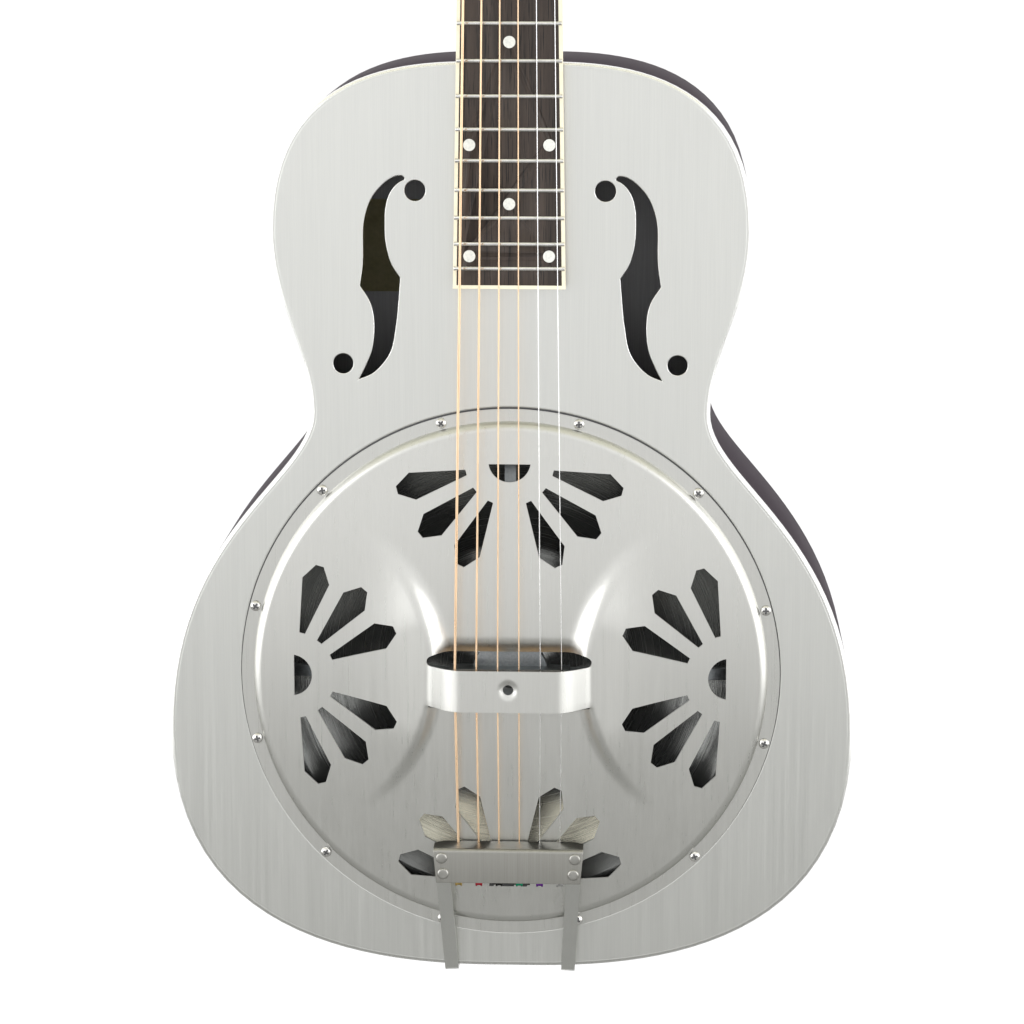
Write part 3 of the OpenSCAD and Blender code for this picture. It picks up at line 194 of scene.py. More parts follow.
# %% Finish
class Finish:
    """One material. node() adds any node, and the shader's own sockets are set by name."""

    def __init__(self, name, **shader):
        self.material = bpy.data.materials.new(name)
        self.material.use_nodes = True
        self.tree = self.material.node_tree
        self.shader = self.tree.nodes["Principled BSDF"]
        self.set(**shader)

    def set(self, **shader):
        for name, value in shader.items():
            label = name.replace("_", " ").title().replace("Ior", "IOR")
            self.plug(self.shader.inputs[label], value)

    def plug(self, socket, value):
        if isinstance(value, Wire):
            self.tree.links.new(value.socket, socket)
        elif socket.type == "RGBA" and len(value) == 3:
            socket.default_value = (*value, 1)
        else:
            socket.default_value = value

    def node(self, kind, settings=None, sockets=None, out=0):
        made = self.tree.nodes.new(kind)
        for name, value in (settings or {}).items():
            setattr(made, name, value)
        for name, value in (sockets or {}).items():
            self.plug(made.inputs[name], value)
        return Wire(self, made.outputs[out])

    def place(self, scale=(1, 1, 1), move=(0, 0, 0)):
        """Object coordinates, moved and stretched."""
        here = self.node("ShaderNodeTexCoord", out="Object")
        return self.node("ShaderNodeMapping", None, {
            "Vector": here, "Location": move, "Scale": scale})

    def noise(self, scale, detail=3, roughness=0.5):
        """Noise whose grains are stretched by the scale along x, y and z."""
        return self.node("ShaderNodeTexNoise", None, {
            "Vector": self.place(scale), "Scale": 1, "Detail": detail, "Roughness": roughness})

    def ramp(self, value, low, high, to_low=0.0, to_high=1.0):
        return self.node("ShaderNodeMapRange", None, {
            "Value": value, "From Min": low, "From Max": high, "To Min": to_low, "To Max": to_high})

    def mix(self, share, first, second):
        made = self.tree.nodes.new("ShaderNodeMix")
        made.data_type = "RGBA"
        self.plug(made.inputs[0], share)
        self.plug(made.inputs[6], first)
        self.plug(made.inputs[7], second)
        return Wire(self, made.outputs[2])

    def bump(self, height, depth, strength=1.0):
        return self.node("ShaderNodeBump", None, {
            "Height": height, "Distance": depth, "Strength": strength})


# %% [markdown]
# Brushed nickel steel
# The whole body is sheet steel with a dull plated finish, brushed along the neck with a fine abrasive pad.
# Noise that is stretched a hundred times along the brushing never repeats, so one fine noise makes the
# scratches, a wider one the bands that the pad leaves, and a slow one the clouds of a hand-finished sheet.
# They move the colour and the roughness by a little.

# %% Brushed steel
def brushed(name, light, dark, roughness, grain=(3200, 3200, 30), band=(500, 500, 7)):
    finish = Finish(name, metallic=1.0)
    fine = finish.noise(grain, 2)
    broad = finish.noise(band, 3)
    cloud = finish.noise((9, 9, 5), 2)
    share = finish.ramp(fine * 0.5 + broad * 0.25 + cloud * 0.25, 0.34, 0.66)
    finish.set(base_color=finish.mix(share, dark, light),
               roughness=finish.ramp(fine * 0.5 + broad * 0.5, 0.3, 0.7, roughness - 0.04, roughness + 0.05),
               normal=finish.bump(fine, scratch_depth))
    return finish.material


scratch_depth = 0.015 * MM
steel = brushed("brushed_steel", (0.715, 0.72, 0.693), (0.665, 0.67, 0.645), 0.33)
cover_steel = brushed("cover_steel", (0.66, 0.66, 0.633), (0.615, 0.615, 0.588), 0.3)
tail_steel = brushed("tail_steel", (0.385, 0.38, 0.355), (0.32, 0.315, 0.29), 0.38)
# a dark copy of the steel, used only as painted shade: in recesses, under the cover plate and under screw
# heads
painted_shade_steel = brushed("painted_shade_steel", (0.20, 0.20, 0.205), (0.13, 0.13, 0.135), 0.5)
back_steel = brushed("back_steel", (0.47, 0.473, 0.455), (0.42, 0.423, 0.407), 0.34)
inner_steel = brushed("inner_steel", (0.42, 0.42, 0.43), (0.30, 0.30, 0.31), 0.5)
# a bright copy of the steel, used only as a painted highlight on the rolled rim and on the edges of holes
painted_highlight_steel = brushed("painted_highlight_steel", (0.95, 0.95, 0.93), (0.90, 0.90, 0.88), 0.28)
# the side wall: a dark copy of the steel with a purplish tint in its reflections, a painted reflection of a
# dark room
side_steel = brushed("side_steel", (0.16, 0.147, 0.157), (0.11, 0.10, 0.107), 0.42,
                     (20, 20, 2600), (5, 5, 300))
side_shader = side_steel.node_tree.nodes["Principled BSDF"]
side_shader.inputs["Specular Tint"].default_value = (0.25, 0.23, 0.25, 1)


# %% [markdown]
# Finishes by slot
# The record names a slot for every part. The finishes are kept by slot, and each cell below that makes one
# adds it. Only the studio's own sheets are plain, because the guitar just mirrors their tone.

# %% Plain sheets
def plain(name, colour, roughness):
    return Finish(name, base_color=colour, roughness=roughness).material


finishes = {"brushed_steel": steel, "side_steel": side_steel}
slot_of = {part["node"]: part["material_slot"] for part in frame["record"]["subparts"]}
floor.data.materials.append(plain("floor", (0.93, 0.93, 0.93), 0.8))
low_card.data.materials.append(plain("low_card", (0.27, 0.27, 0.26), 0.8))
high_card.data.materials.append(plain("high_card", (0.66, 0.65, 0.54), 0.8))

# %% [markdown]
# Taking hold of a piece
# An operator works on all that is selected, so each step begins with nothing selected and takes one piece.
# Where a step is for some of its faces, they are chosen by a test of their place, size or normal.

# %% Selecting
def take(piece):
    """Only this piece is selected and active, in object mode."""
    if bpy.context.object and bpy.context.object.mode != "OBJECT":
        bpy.ops.object.mode_set(mode="OBJECT")
    bpy.ops.object.select_all(action="DESELECT")
    if piece:
        piece.select_set(True)
        bpy.context.view_layer.objects.active = piece
    return piece


def leave():
    """Back to object mode, where a modifier or a join can act."""
    bpy.ops.object.mode_set(mode="OBJECT")


def choose_all(piece, kind="VERT"):
    take(piece)
    bpy.ops.object.mode_set(mode="EDIT")
    bpy.ops.mesh.select_mode(type=kind)
    bpy.ops.mesh.select_all(action="SELECT")


def choose(piece, test):
    """Edit mode with just the faces selected that pass the test."""
    choose_all(piece, "FACE")
    bpy.ops.mesh.select_all(action="DESELECT")
    leave()
    for face in piece.data.polygons:
        face.select = test(face)
    bpy.ops.object.mode_set(mode="EDIT")


def settle(piece):
    """The piece's place, turn and scale go into its mesh."""
    take(piece)
    bpy.ops.object.transform_apply(location=True, rotation=True, scale=True)


def modify(piece, kind, **settings):
    """A modifier that is applied at once."""
    take(piece)
    modifier = piece.modifiers.new(kind.lower(), kind)
    for name, value in settings.items():
        setattr(modifier, name, value)
    bpy.ops.object.modifier_apply(modifier=modifier.name)


# %% [markdown]
# Drawing, raising and spinning
# A piece is drawn flat on the ground, as a luthier lays the guitar on a bench: x to the treble side, y to
# the head and z out of the face, with 0 in the middle of the cover plate. A line becomes a block when it is
# filled and extruded, and a round part when it is spun.

# %% Drawing
def extrude(x, y, z):
    """What is selected, drawn out by a vector in metres."""
    bpy.ops.mesh.extrude_region_move(TRANSFORM_OT_translate={"value": (x, y, z)})


def draw(name, points):
    """A line of edges in millimetres: one vertex, extruded from point to point."""
    points = [Vector(p).to_3d() * MM for p in points]
    take(None)
    bpy.ops.mesh.primitive_plane_add(size=MM)
    piece = bpy.context.object
    piece.name = name
    choose_all(piece)
    bpy.ops.mesh.merge(type="CENTER")
    bpy.ops.transform.translate(value=points[0])
    for a, b in zip(points, points[1:]):
        extrude(*(b - a))
    leave()
    return piece


def tidy_seams(piece, outwards=True):
    """Doubles merged, and normals out of the solid."""
    choose_all(piece)
    bpy.ops.mesh.remove_doubles(threshold=0.002 * MM)
    if outwards:
        bpy.ops.mesh.normals_make_consistent(inside=False)
    leave()


def face_up(piece):
    """A flat sheet whose front looks up."""
    tidy_seams(piece)
    if piece.data.polygons[0].normal.z < 0:
        choose_all(piece)
        bpy.ops.mesh.flip_normals()
        leave()


def block(name, points, low, high):
    """A flat outline as a closed block between two heights."""
    piece = draw(name, [(x, y, low) for x, y in points])
    choose_all(piece)
    bpy.ops.mesh.edge_face_add()
    extrude(0, 0, (high - low) * MM)
    tidy_seams(piece)
    return piece


def revolve(name, points, steps):
    """A profile of (radius, height) points, spun once round the z axis."""
    piece = draw(name, [(r, 0, z) for r, z in points])
    choose_all(piece)
    bpy.ops.mesh.spin(steps=steps, angle=2 * math.pi, center=(0, 0, 0), axis=(0, 0, 1))
    tidy_seams(piece)
    return piece


# %% [markdown]
# Copying, cutting and hanging
# What repeats is copied, each copy with its own mesh. Openings are cut with closed cutters. A finished piece
# is hung upright at its place, and then gets its name, its finish and the body that it moves with.

# %% Finishing a piece
def copy_to(piece, place, turn=0.0):
    """A copy with its own mesh, turned about z and moved, in millimetres."""
    twin = piece.copy()
    twin.data = piece.data.copy()
    bpy.context.scene.collection.objects.link(twin)
    twin.matrix_world = (Matrix.Translation(Vector(place) * MM)
                         @ Matrix.Rotation(turn, 4, "Z") @ piece.matrix_world)
    return twin


def join(pieces, name):
    take(pieces[0])
    for piece in pieces:
        piece.select_set(True)
    bpy.ops.object.join()
    bpy.context.object.name = name
    return bpy.context.object


def cut(piece, cutter):
    modify(piece, "BOOLEAN", operation="DIFFERENCE", solver="EXACT", object=cutter)
    bpy.data.objects.remove(cutter)


def smooth(piece, degrees):
    take(piece)
    bpy.ops.object.shade_smooth_by_angle(angle=math.radians(degrees))


bench_to_wall = (Matrix.Translation((0, top_sheet_y, cover_middle.z))
                 @ Matrix.Rotation(math.radians(90), 4, "X"))


def hang(piece):
    """From the bench to its place on the upright guitar."""
    take(piece)
    piece.matrix_world = bench_to_wall @ piece.matrix_world
    bpy.ops.object.transform_apply(location=True, rotation=True, scale=True)


def paint(piece, materials, pick):
    """More materials for a dressed piece; pick gives each face its slot's number."""
    for material in materials:
        piece.data.materials.append(material)
    for face in piece.data.polygons:
        face.material_index = int(pick(face))


def dress(piece, name, material, slot, *replaces, body="guitar"):
    """The piece's name, finish and body, and the construction nodes that it stands for."""
    take(piece)
    piece.name = piece.data.name = name
    piece.data.materials.clear()
    piece.data.materials.append(material)
    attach(piece, body)
    if replaces:
        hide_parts(*replaces)
    print(name, sum(len(p.vertices) - 2 for p in piece.data.polygons), "triangles")


# %% [markdown]
# The outline of the body
# The steel body has a narrow waist and no cutaway, and both halves are alike. Four curves make one half: from
# the neck to the upper bout, in to the waist, out to the lower bout, and round to the tail. A Bezier curve
# keeps such a line smooth. Only the two ends and the widest and narrowest places have to be set.

# %% Outline of the body
half_outline = [  # place, reach of the handle before it and of the one after it, in millimetres
    ((0, 320.1), 29, 29), ((124.3, 233.5), 97.2, 37.2), ((103.7, 139.3), 32.7, 35),
    ((180.5, -31.4), 106.5, 134.1), ((0, -160.5), 41, 41)]
body_depth = 90
edge_radius = 2.3
rim = 2.6


def bezier_ring(name, points, steps):
    """A closed curve as a mesh line. Each point is (place, handle before, handle after)."""
    take(None)
    bpy.ops.curve.primitive_bezier_circle_add(radius=1)
    curve = bpy.context.object
    curve.name = name
    spline = curve.data.splines[0]
    spline.bezier_points.add(len(points) - 4)
    for knot, (place, before, after) in zip(spline.bezier_points, points):
        knot.handle_left_type = knot.handle_right_type = "FREE"
        knot.co, knot.handle_left, knot.handle_right = (
            Vector(p).to_3d() * MM for p in (place, before, after))
    spline.resolution_u = steps
    take(curve)
    bpy.ops.object.convert(target="MESH")
    tidy_seams(bpy.context.object, outwards=False)
    return bpy.context.object


def body_ring(name):
    knots = []
    right = [(Vector(place), before, after) for place, before, after in half_outline]
    left = [(Vector((-place.x, place.y)), after, before) for place, before, after in right[3:0:-1]]
    for place, before, after in right + left:
        way = Vector((0, -1 if place.x > 0 else 1))
        if place.x == 0:
            way = Vector((1 if place.y > 0 else -1, 0))
        knots.append((place, place - way * before, place + way * after))
    return bezier_ring(name, knots, 28)


# %% [markdown]
# Body sides
# The side wall is one long strip of sheet steel, rolled over at its front and back edge into a narrow rim on
# which the two plates are soldered. The wall is the outline, extruded. The rolled edge could be a bevel, but
# insets with a depth follow the quarter round exactly and leave the rim almost flat. The back edge mirrors
# the front one.

# %% Body sides
roll_steps = 7
side_wall = 0.9
sides = body_ring("body_shell")
choose_all(sides)
bpy.ops.transform.translate(value=(0, 0, -body_depth / 2 * MM))
bpy.ops.mesh.edge_face_add()
face_up(sides)
choose_all(sides, "FACE")
wall_height = (body_depth / 2 - edge_radius) * MM
extrude(0, 0, wall_height)
for i in range(roll_steps):
    a, b = (math.radians(90 * k / roll_steps) for k in (i, i + 1))
    bpy.ops.mesh.inset(thickness=edge_radius * (math.cos(a) - math.cos(b)) * MM,
                       depth=edge_radius * (math.sin(b) - math.sin(a)) * MM, use_even_offset=True)
bpy.ops.mesh.inset(thickness=(rim - edge_radius) * MM, depth=-0.05 * MM, use_even_offset=True)
bpy.ops.mesh.inset(thickness=0.3 * MM, depth=0, use_even_offset=True)
choose(sides, lambda face: len(face.vertices) > 4)
bpy.ops.mesh.delete(type="FACE")
tidy_seams(sides)
sides.location.z = body_depth / 2 * MM
settle(sides)
modify(sides, "MIRROR", use_axis=(False, False, True), merge_threshold=0.01 * MM)
modify(sides, "SOLIDIFY", thickness=side_wall * MM, offset=-1, use_even_offset=True)
sides.location.z = -body_depth / 2 * MM
settle(sides)
smooth(sides, 40)
print("body:", [round(v / MM, 1) for v in sides.dimensions])

# %% [markdown]
# Two steels on one strip
# The rim's shine and the wall's darkness are painted. Material slots do that: the rolled edge takes a bright
# copy of the steel as a painted highlight, the narrow flat inside it that of the face, and the wall a dark
# copy as a painted reflection of a dark room.

# %% Rim and wall
hang(sides)
dress(sides, "body_shell", side_steel, "side_steel", "body_sides")
wall_start = top_sheet_y + (edge_radius - 0.1) * MM
# the rolled edge takes a bright steel as a painted highlight, and the wall the dark side steel as a painted
# reflection
paint(sides, (steel, painted_highlight_steel),
      lambda face: (1 + (face.normal.y > -0.93)) * (face.center.y < wall_start))


# %% [markdown]
# Top and back plate
# Each plate is a flat sheet that ends at the rim. The top has the well for the resonator, two sound holes
# shaped like an f and four round ones. The sheet is the outline again, inset by the rim, and the holes are
# cut through it while it is a closed block.

# %% Sound holes
f_shape = [(-12.6, 53), (-11, 54.3), (-6.8, 53.5), (-1.5, 49.8), (3.8, 43.5), (7, 36.1), (8.7, 27),
           (8.9, 10.6), (10.6, -2.6), (5.2, -11.6), (3.3, -22.6), (4.4, -35.2), (8, -44.6),
           (11.7, -51.6), (3, -47.3), (-5, -37), (-7.9, -23), (-9, -13.3), (-10.2, 1.4), (-5.4, 9.3),
           (-2.7, 20.6), (-2.4, 32.9), (-2.9, 38.2), (-4.3, 43.5), (-6.9, 48), (-10, 50.9), (-12.3, 52)]
f_corners = (8, 13, 18)  # the two notches and the lower tip
f_middle = (67, 208)
round_holes = (((-18.1, 46.6), 5.35), ((19.6, -43.3), 5.2))
well_radius = 134.6


def f_ring():
    """The f as a smooth curve with sharp tips and notches."""
    knots = []
    shape = [Vector(p) for p in f_shape]
    for i, place in enumerate(shape):
        before, after = shape[i - 1], shape[(i + 1) % len(shape)]
        if i in f_corners:
            knots.append((place, place + (before - place) / 3, place + (after - place) / 3))
        else:
            knots.append((place, place - (after - before) / 6, place + (after - before) / 6))
    return bezier_ring("f_cutter", knots, 8)


def round_cutter(place, radius, steps=48):
    take(None)
    bpy.ops.mesh.primitive_cylinder_add(vertices=steps, radius=radius * MM, depth=20 * MM,
                                        location=Vector((*place, 0)) * MM)
    settle(bpy.context.object)
    return bpy.context.object


def f_cutters():
    tall = f_ring()
    choose_all(tall)
    bpy.ops.transform.translate(value=(0, 0, -10 * MM))
    bpy.ops.mesh.edge_face_add()
    extrude(0, 0, 20 * MM)
    tidy_seams(tall)
    return join([tall] + [round_cutter(place, radius) for place, radius in round_holes], "f_cutter")


# %% [markdown]
# Cutting the two sheets
# Both sheets are a millimetre thick. The sound holes are cut first and their edges rounded a little, as a
# file leaves them, so they catch the light; they also take a painted highlight. The well and the groove round
# the cover plate come after and stay sharp, and the faces deep in the groove and the holes take painted
# shade.
# The groove lies a little towards the head, since the cover plate is never screwed down quite centred.

# %% Plates
sheet = 1
hole_edge = 0.42
groove_shift = 0.4
groove_line = [(140.5, -0.85), (142.1, -0.85), (142.1, -0.15), (142.6, 0), (142.6, 1), (140.5, 1),
               (140.5, -0.85)]


def plate(name, top):
    piece = body_ring(name)
    choose_all(piece)
    bpy.ops.transform.translate(value=(0, 0, (top - sheet) * MM))
    bpy.ops.mesh.edge_face_add()
    choose_all(piece, "FACE")
    bpy.ops.mesh.inset(thickness=(rim + 0.02) * MM, use_even_offset=True)
    bpy.ops.mesh.select_all(action="INVERT")
    bpy.ops.mesh.delete(type="FACE")
    bpy.ops.mesh.select_all(action="SELECT")
    extrude(0, 0, sheet * MM)
    tidy_seams(piece)
    return piece


top = plate("top_sheet", 0)
for side in (1, -1):
    cutter = f_cutters()
    cutter.location = Vector((side * f_middle[0], f_middle[1], 0)) * MM
    cutter.scale.x = side
    settle(cutter)
    tidy_seams(cutter)
    cut(top, cutter)
modify(top, "BEVEL", width=hole_edge * MM, segments=3, limit_method="ANGLE",
       angle_limit=math.radians(60), use_clamp_overlap=False)
cut(top, round_cutter((0, 0), well_radius, 128))
groove = revolve("groove", groove_line, 192)
choose_all(groove)
bpy.ops.transform.translate(value=(0, groove_shift * MM, 0))
cut(top, groove)
smooth(top, 5)
hang(top)
dress(top, "top_sheet", steel, "brushed_steel", "top_plate")
deep_y = top_sheet_y + 0.45 * MM
# faces more than 0.45 mm deep take painted shade; the other faces that don't look straight out, the edges of
# holes, groove and well, take a painted highlight
paint(top, (painted_shade_steel, painted_highlight_steel),
      lambda face: 1 if face.center.y > deep_y else 2 * (face.normal.y > -0.95))
back = plate("back_sheet", sheet - body_depth)
smooth(back, 15)
hang(back)
dress(back, "back_sheet", back_steel, "brushed_steel", "back_plate")
paint(back, (inner_steel,), lambda face: face.normal.y < -0.5)

# %% [markdown]
# The cover plate, flat
# The cover plate is one disc of thin steel. A press punches the openings and then draws the shape. The model
# follows the same order. A radius is spun into a disc that is fine enough to bend, with its rings closest
# where the bead will be.

# %% Flat disc
cover_radius = 141.6
foot_radius = 135.2
dome_radius = 130.3
rest = {"y": -3.4, "top": 26.0, "flat": 24.0, "end": 43.6, "lean": -0.02}
access_y = -2.4
access_radius = 2.7
cover_wall = 0.9
stations = list(range(50)) + [50 + 2 * k for k in range(40)] + [
    129.2, 130.3, 130.8, 131.3, 131.8, 132.3, 132.7, 133.1, 133.5, 133.9, 134.2, 134.5, 134.7, 134.85,
    135, 135.2, 135.6, 136.5, 139, 141, cover_radius]
cover = draw("cover", [(r, 0, 0) for r in stations])
choose_all(cover)
bpy.ops.mesh.spin(steps=288, angle=2 * math.pi, center=(0, 0, 0), axis=(0, 0, 1))
tidy_seams(cover)
face_up(cover)
modify(cover, "SOLIDIFY", thickness=2 * MM, offset=0)
print("flat disc:", len(cover.data.polygons), "faces")

# %% [markdown]
# The openings
# Four fans of six petals, a half round hole at each fan, two slots beside the hand rest and a round hole for
# the screwdriver are punched while the plate is flat. One petal is drawn, and the others are copies turned
# about the fan's middle. All cutters are joined, so one cut makes every opening.

# %% Openings of the cover plate
petal_angles = (15, 40, 65, 115, 140, 165)
petal = ((23.4, 1.5), (52.3, 7.3), (60.7, 2.1))
fan_radius = 115
half_round = 11
cutter_depth = 5


def fan_cutter(quarter):
    outline = [(r, w) for r, w in petal] + [(r, -w) for r, w in reversed(petal)]
    first = block("petal", outline, -cutter_depth, cutter_depth)
    parts = [copy_to(first, (0, fan_radius, 0), math.radians(-a)) for a in petal_angles]
    bpy.data.objects.remove(first)
    chord = math.asin(1.6 / half_round)
    arc = [math.pi + chord + (math.pi - 2 * chord) * i / 24 for i in range(25)]
    disc = [(half_round * math.cos(a), fan_radius + half_round * math.sin(a)) for a in arc]
    parts.append(block("half_round", disc, -cutter_depth, cutter_depth))
    fan = join(parts, "fan_cutter")
    settle(fan)
    fan.rotation_euler.z = quarter * math.pi / 2
    settle(fan)
    return fan


upper_slot = [(0, 7.6), (20, 7.6), (30, 7.6), (37, 7.4), (41.2, 7.3), (42.5, 7.9), (43.2, 9.2), (43.1, 10.6),
              (42.2, 11.8), (40.6, 12.7), (38, 13.4), (34, 13.9), (28, 14), (20, 14), (0, 14)]
lower_slot = [(0, -18.5), (20, -18.5), (32, -18.1), (38, -16.6), (41.5, -15.4), (42.6, -14.7), (42, -14.3),
              (39, -14.3), (34, -14.4), (20, -14.4), (0, -14.4)]


def slot_cutter(half):
    """A slot from its treble half, as far as the middle line, and the same mirrored."""
    return block("slot", half + [(-x, y) for x, y in reversed(half[1:-1])], -cutter_depth, cutter_depth)


parts = [fan_cutter(q) for q in range(4)] + [slot_cutter(upper_slot), slot_cutter(lower_slot)]
parts.append(round_cutter((0, access_y), access_radius, 28))
cut(cover, join(parts, "openings"))
print("after punching:", len(cover.data.polygons), "faces")

# %% [markdown]
# The cover plate, pressed
# The press raises a bead round the flange, a shallow dome, and two shoulders at the sides of the string
# opening. A shoulder is a tilted disc about the fan beside it, and it ends in a soft step that faces the
# strings. The strip between the slots becomes the hand rest. Each form is a height over the bench, so the
# die is a formula, and soft maxima and minima round the creases as a die does.

# %% The die
shoulder = {"radius": 76.0, "tilt": math.radians(10.6), "rise": 5.0, "cut": 8.0, "foot": 12.0}


def ease(u):
    """From 0 to 1 with a level start and end."""
    u = min(1, max(0, u))
    return u * u * (3 - 2 * u)


def arch(v, crown=0.55, foot=0.15):
    """From 0 to 1: a long curve at the crown, an even slope, and a short curve at the foot."""
    v = min(1, max(0, v))
    steepest = 1 / (1 - crown / 2 - foot / 2)
    if v < crown:
        return steepest * v * v / (2 * crown)
    return 1 - steepest * (1 - v) ** 2 / (2 * foot) if v > 1 - foot else steepest * (v - crown / 2)


def roll(r, radius=5.0, steepest=math.radians(60)):
    """How far the dome's edge rolls down at r: an arc, then a short steep foot."""
    turned = radius * math.sin(steepest)
    if r < dome_radius + turned:
        return radius - math.sqrt(radius ** 2 - max(0, r - dome_radius) ** 2)
    share = (r - dome_radius - turned) / (foot_radius - dome_radius - turned)
    fallen = radius * (1 - math.cos(steepest))
    return fallen + (dome(dome_radius) - cover_wall - fallen) * min(1, share)


def soft_max(a, b, blend):
    """The larger of two heights, with the crease between them rounded."""
    return max(a, b) + max(0, blend - abs(a - b)) ** 2 / (4 * blend)


def dome(r):
    return 5.5 + 4 * (1 - (r / dome_radius) ** 2)


shoulder_top = dome(fan_radius - shoulder["radius"]) + shoulder["rise"]


def die(x, y):
    """Height of the pressed sheet's top over the body, in millimetres."""
    r = math.hypot(x, y)
    height = dome(min(r, dome_radius))
    tail = ease(-y / 16)
    away = math.hypot(abs(x) - fan_radius, y) - shoulder["radius"] + 2.5 * tail
    inwards = fan_radius - abs(x) - shoulder["radius"] * math.cos(shoulder["tilt"])
    tilted = shoulder_top + inwards * math.tan(shoulder["tilt"])
    slope = shoulder_top - away * shoulder["cut"] / (shoulder["foot"] - 5 * tail)
    side = math.degrees(math.atan2(abs(y), fan_radius - abs(x)))
    raised = soft_max(height, -soft_max(-tilted, -slope, 2.5), 2.5) - height
    height += raised * ease((66 - side) / 44)
    return height - roll(r)


def lip(x, y):
    """How far the sheet rolls down at the head side of the string opening."""
    return 2.2 * max(0, 1 - (y - 13.5) / 9) ** 2 * ease((41 - abs(x)) / 11) if y > 9 else 0


def die_with_rest(x, y):
    height = die(x, y) - lip(x, y)
    if abs(x) < rest["end"] and -14.5 < y < 8.5:
        end = die(rest["end"], y)
        rise = 1 - arch((abs(x) - rest["flat"]) / (rest["end"] - rest["flat"]))
        height = end + (rest["top"] + rest["lean"] * (y - rest["y"]) - end) * rise
        height -= 0.7 * ease(1 - (math.hypot(x, y - access_y) - access_radius) / 2.5)
    return height


# %% [markdown]
# Pressing the plate
# Only the disc's upper skin goes under the die: each of its points takes the die's height, and the wall is
# then added below. The underside takes a dark steel as painted shade of the dim inside that the petals look
# into.

# %% Pressing
choose(cover, lambda face: face.normal.z < 0.5)
bpy.ops.mesh.delete(type="FACE")
leave()
for point in cover.data.vertices:
    point.co.z = die_with_rest(point.co.x / MM, point.co.y / MM) * MM
modify(cover, "SOLIDIFY", thickness=cover_wall * MM, offset=-1, use_even_offset=True)
smooth(cover, 40)
hang(cover)
dress(cover, "cover", cover_steel, "brushed_steel", "coverplate")
# the underside, facing into the body, takes painted shade
paint(cover, (painted_shade_steel,), lambda face: face.normal.y > 0.3)

# %% [markdown]
# Softened copies
# Many small parts have the right shape already, but their edges are knife sharp, and real metal, wood and
# plastic never is: light catches every rounded edge. A copy of the construction mesh is merged, its flat
# faces are made whole, and a bevel rounds the edges. The construction itself stays as it is.

# %% Softened copies
def soft_copy(name, width, angle=35, segments=2, shade=25):
    """A merged copy of a node with its sharp edges rounded by width millimetres."""
    piece = bpy.data.objects.new(name, nodes[name].data.copy())
    bpy.context.scene.collection.objects.link(piece)
    choose_all(piece)
    bpy.ops.mesh.remove_doubles(threshold=0.002 * MM)
    bpy.ops.mesh.dissolve_limited(angle_limit=math.radians(0.5))
    leave()
    if width:
        modify(piece, "BEVEL", width=width * MM, segments=segments, limit_method="ANGLE",
               angle_limit=math.radians(angle))
    smooth(piece, shade)
    return piece


def soften(name, width, body="guitar", **settings):
    """The softened copy takes the node's place."""
    piece = soft_copy(name, width, **settings)
    dress(piece, name + "_soft", finishes[slot_of[name]], slot_of[name], name, body=body)
    return piece


# %% [markdown]
# Polished nickel, wire and brass
# Screws, rivets, frets and machines are nickel plated and smooth. The room shows in them, a little blurred by
# fine handling marks. The four low strings are wound with bronze, and the two high ones are plain steel.

# %% Small metals
def polished(name, light, dark, roughness, grain=260, depth=0.01):
    finish = Finish(name, metallic=1)
    marks = finish.noise((grain, grain, grain), 4)
    cloud = finish.noise((60, 60, 60), 2)
    finish.set(base_color=finish.mix(finish.ramp(marks * 0.5 + cloud * 0.5, 0.35, 0.65), dark, light),
               roughness=finish.ramp(marks, 0.3, 0.7, roughness - 0.05, roughness + 0.07),
               normal=finish.bump(marks, depth * MM))
    return finish.material


for recipe in (
        ("nickel", (0.82, 0.81, 0.79), (0.66, 0.65, 0.63), 0.2),
        ("rivet_steel", (0.46, 0.455, 0.43), (0.36, 0.355, 0.33), 0.33),
        ("brass", (0.83, 0.65, 0.32), (0.62, 0.47, 0.22), 0.25),
        ("plain_wire", (0.9, 0.9, 0.9), (0.8, 0.8, 0.8), 0.22),
        ("cast_aluminium", (0.33, 0.35, 0.36), (0.22, 0.235, 0.245), 0.42, 900, 0.08)):
    finishes[recipe[0]] = polished(*recipe)


def wound():
    """Bronze wire wound round a core: fine rings along the string."""
    finish = Finish("bronze_wire", metallic=1)
    rings = finish.node("ShaderNodeTexWave", {"bands_direction": "Z", "wave_profile": "SIN"},
                        {"Vector": finish.place(), "Scale": 640, "Distortion": 0})
    tarnish = finish.noise((90, 90, 30), 3)
    finish.set(base_color=finish.mix(finish.ramp(rings * 0.5 + tarnish * 0.5, 0.25, 0.75),
                                     (0.72, 0.46, 0.27), (1.0, 0.78, 0.55)),
               roughness=finish.ramp(tarnish, 0.3, 0.7, 0.26, 0.38),
               normal=finish.bump(rings, 0.05 * MM, 0.6))
    return finish.material


finishes["bronze_wire"] = wound()

# %% [markdown]
# Cover screws
# Twelve pan head screws hold the cover plate to the well. One head is spun from its profile, and a cross
# recess is cut into it. The copies stand on the flange at equal steps, each turned its own way, as screws
# end up when they are driven home by hand.

# %% Cover screws
def pan_head(radius, height, drop):
    """A pan head with a cross recess, its underside at z = 0 and a short shank below."""
    dome_line = [(0, 1), (0.45, 0.97), (0.75, 0.84), (0.93, 0.58), (1, 0.25), (1, 0), (0.5, 0)]
    head = revolve("pan_head", [(radius * r, height * z) for r, z in dome_line]
                   + [(radius * 0.5, -drop), (0, -drop)], 28)
    arm, thick = radius * 0.6, radius * 0.17
    for turn in (0, 1):
        wide, narrow = ((arm, thick), (thick, arm))[turn]
        cut(head, block("arm", [(wide, narrow), (-wide, narrow), (-wide, -narrow), (wide, -narrow)],
                        height * (0.45 - 0.03 * turn), height * (2 + turn)))
    smooth(head, 50)
    return head


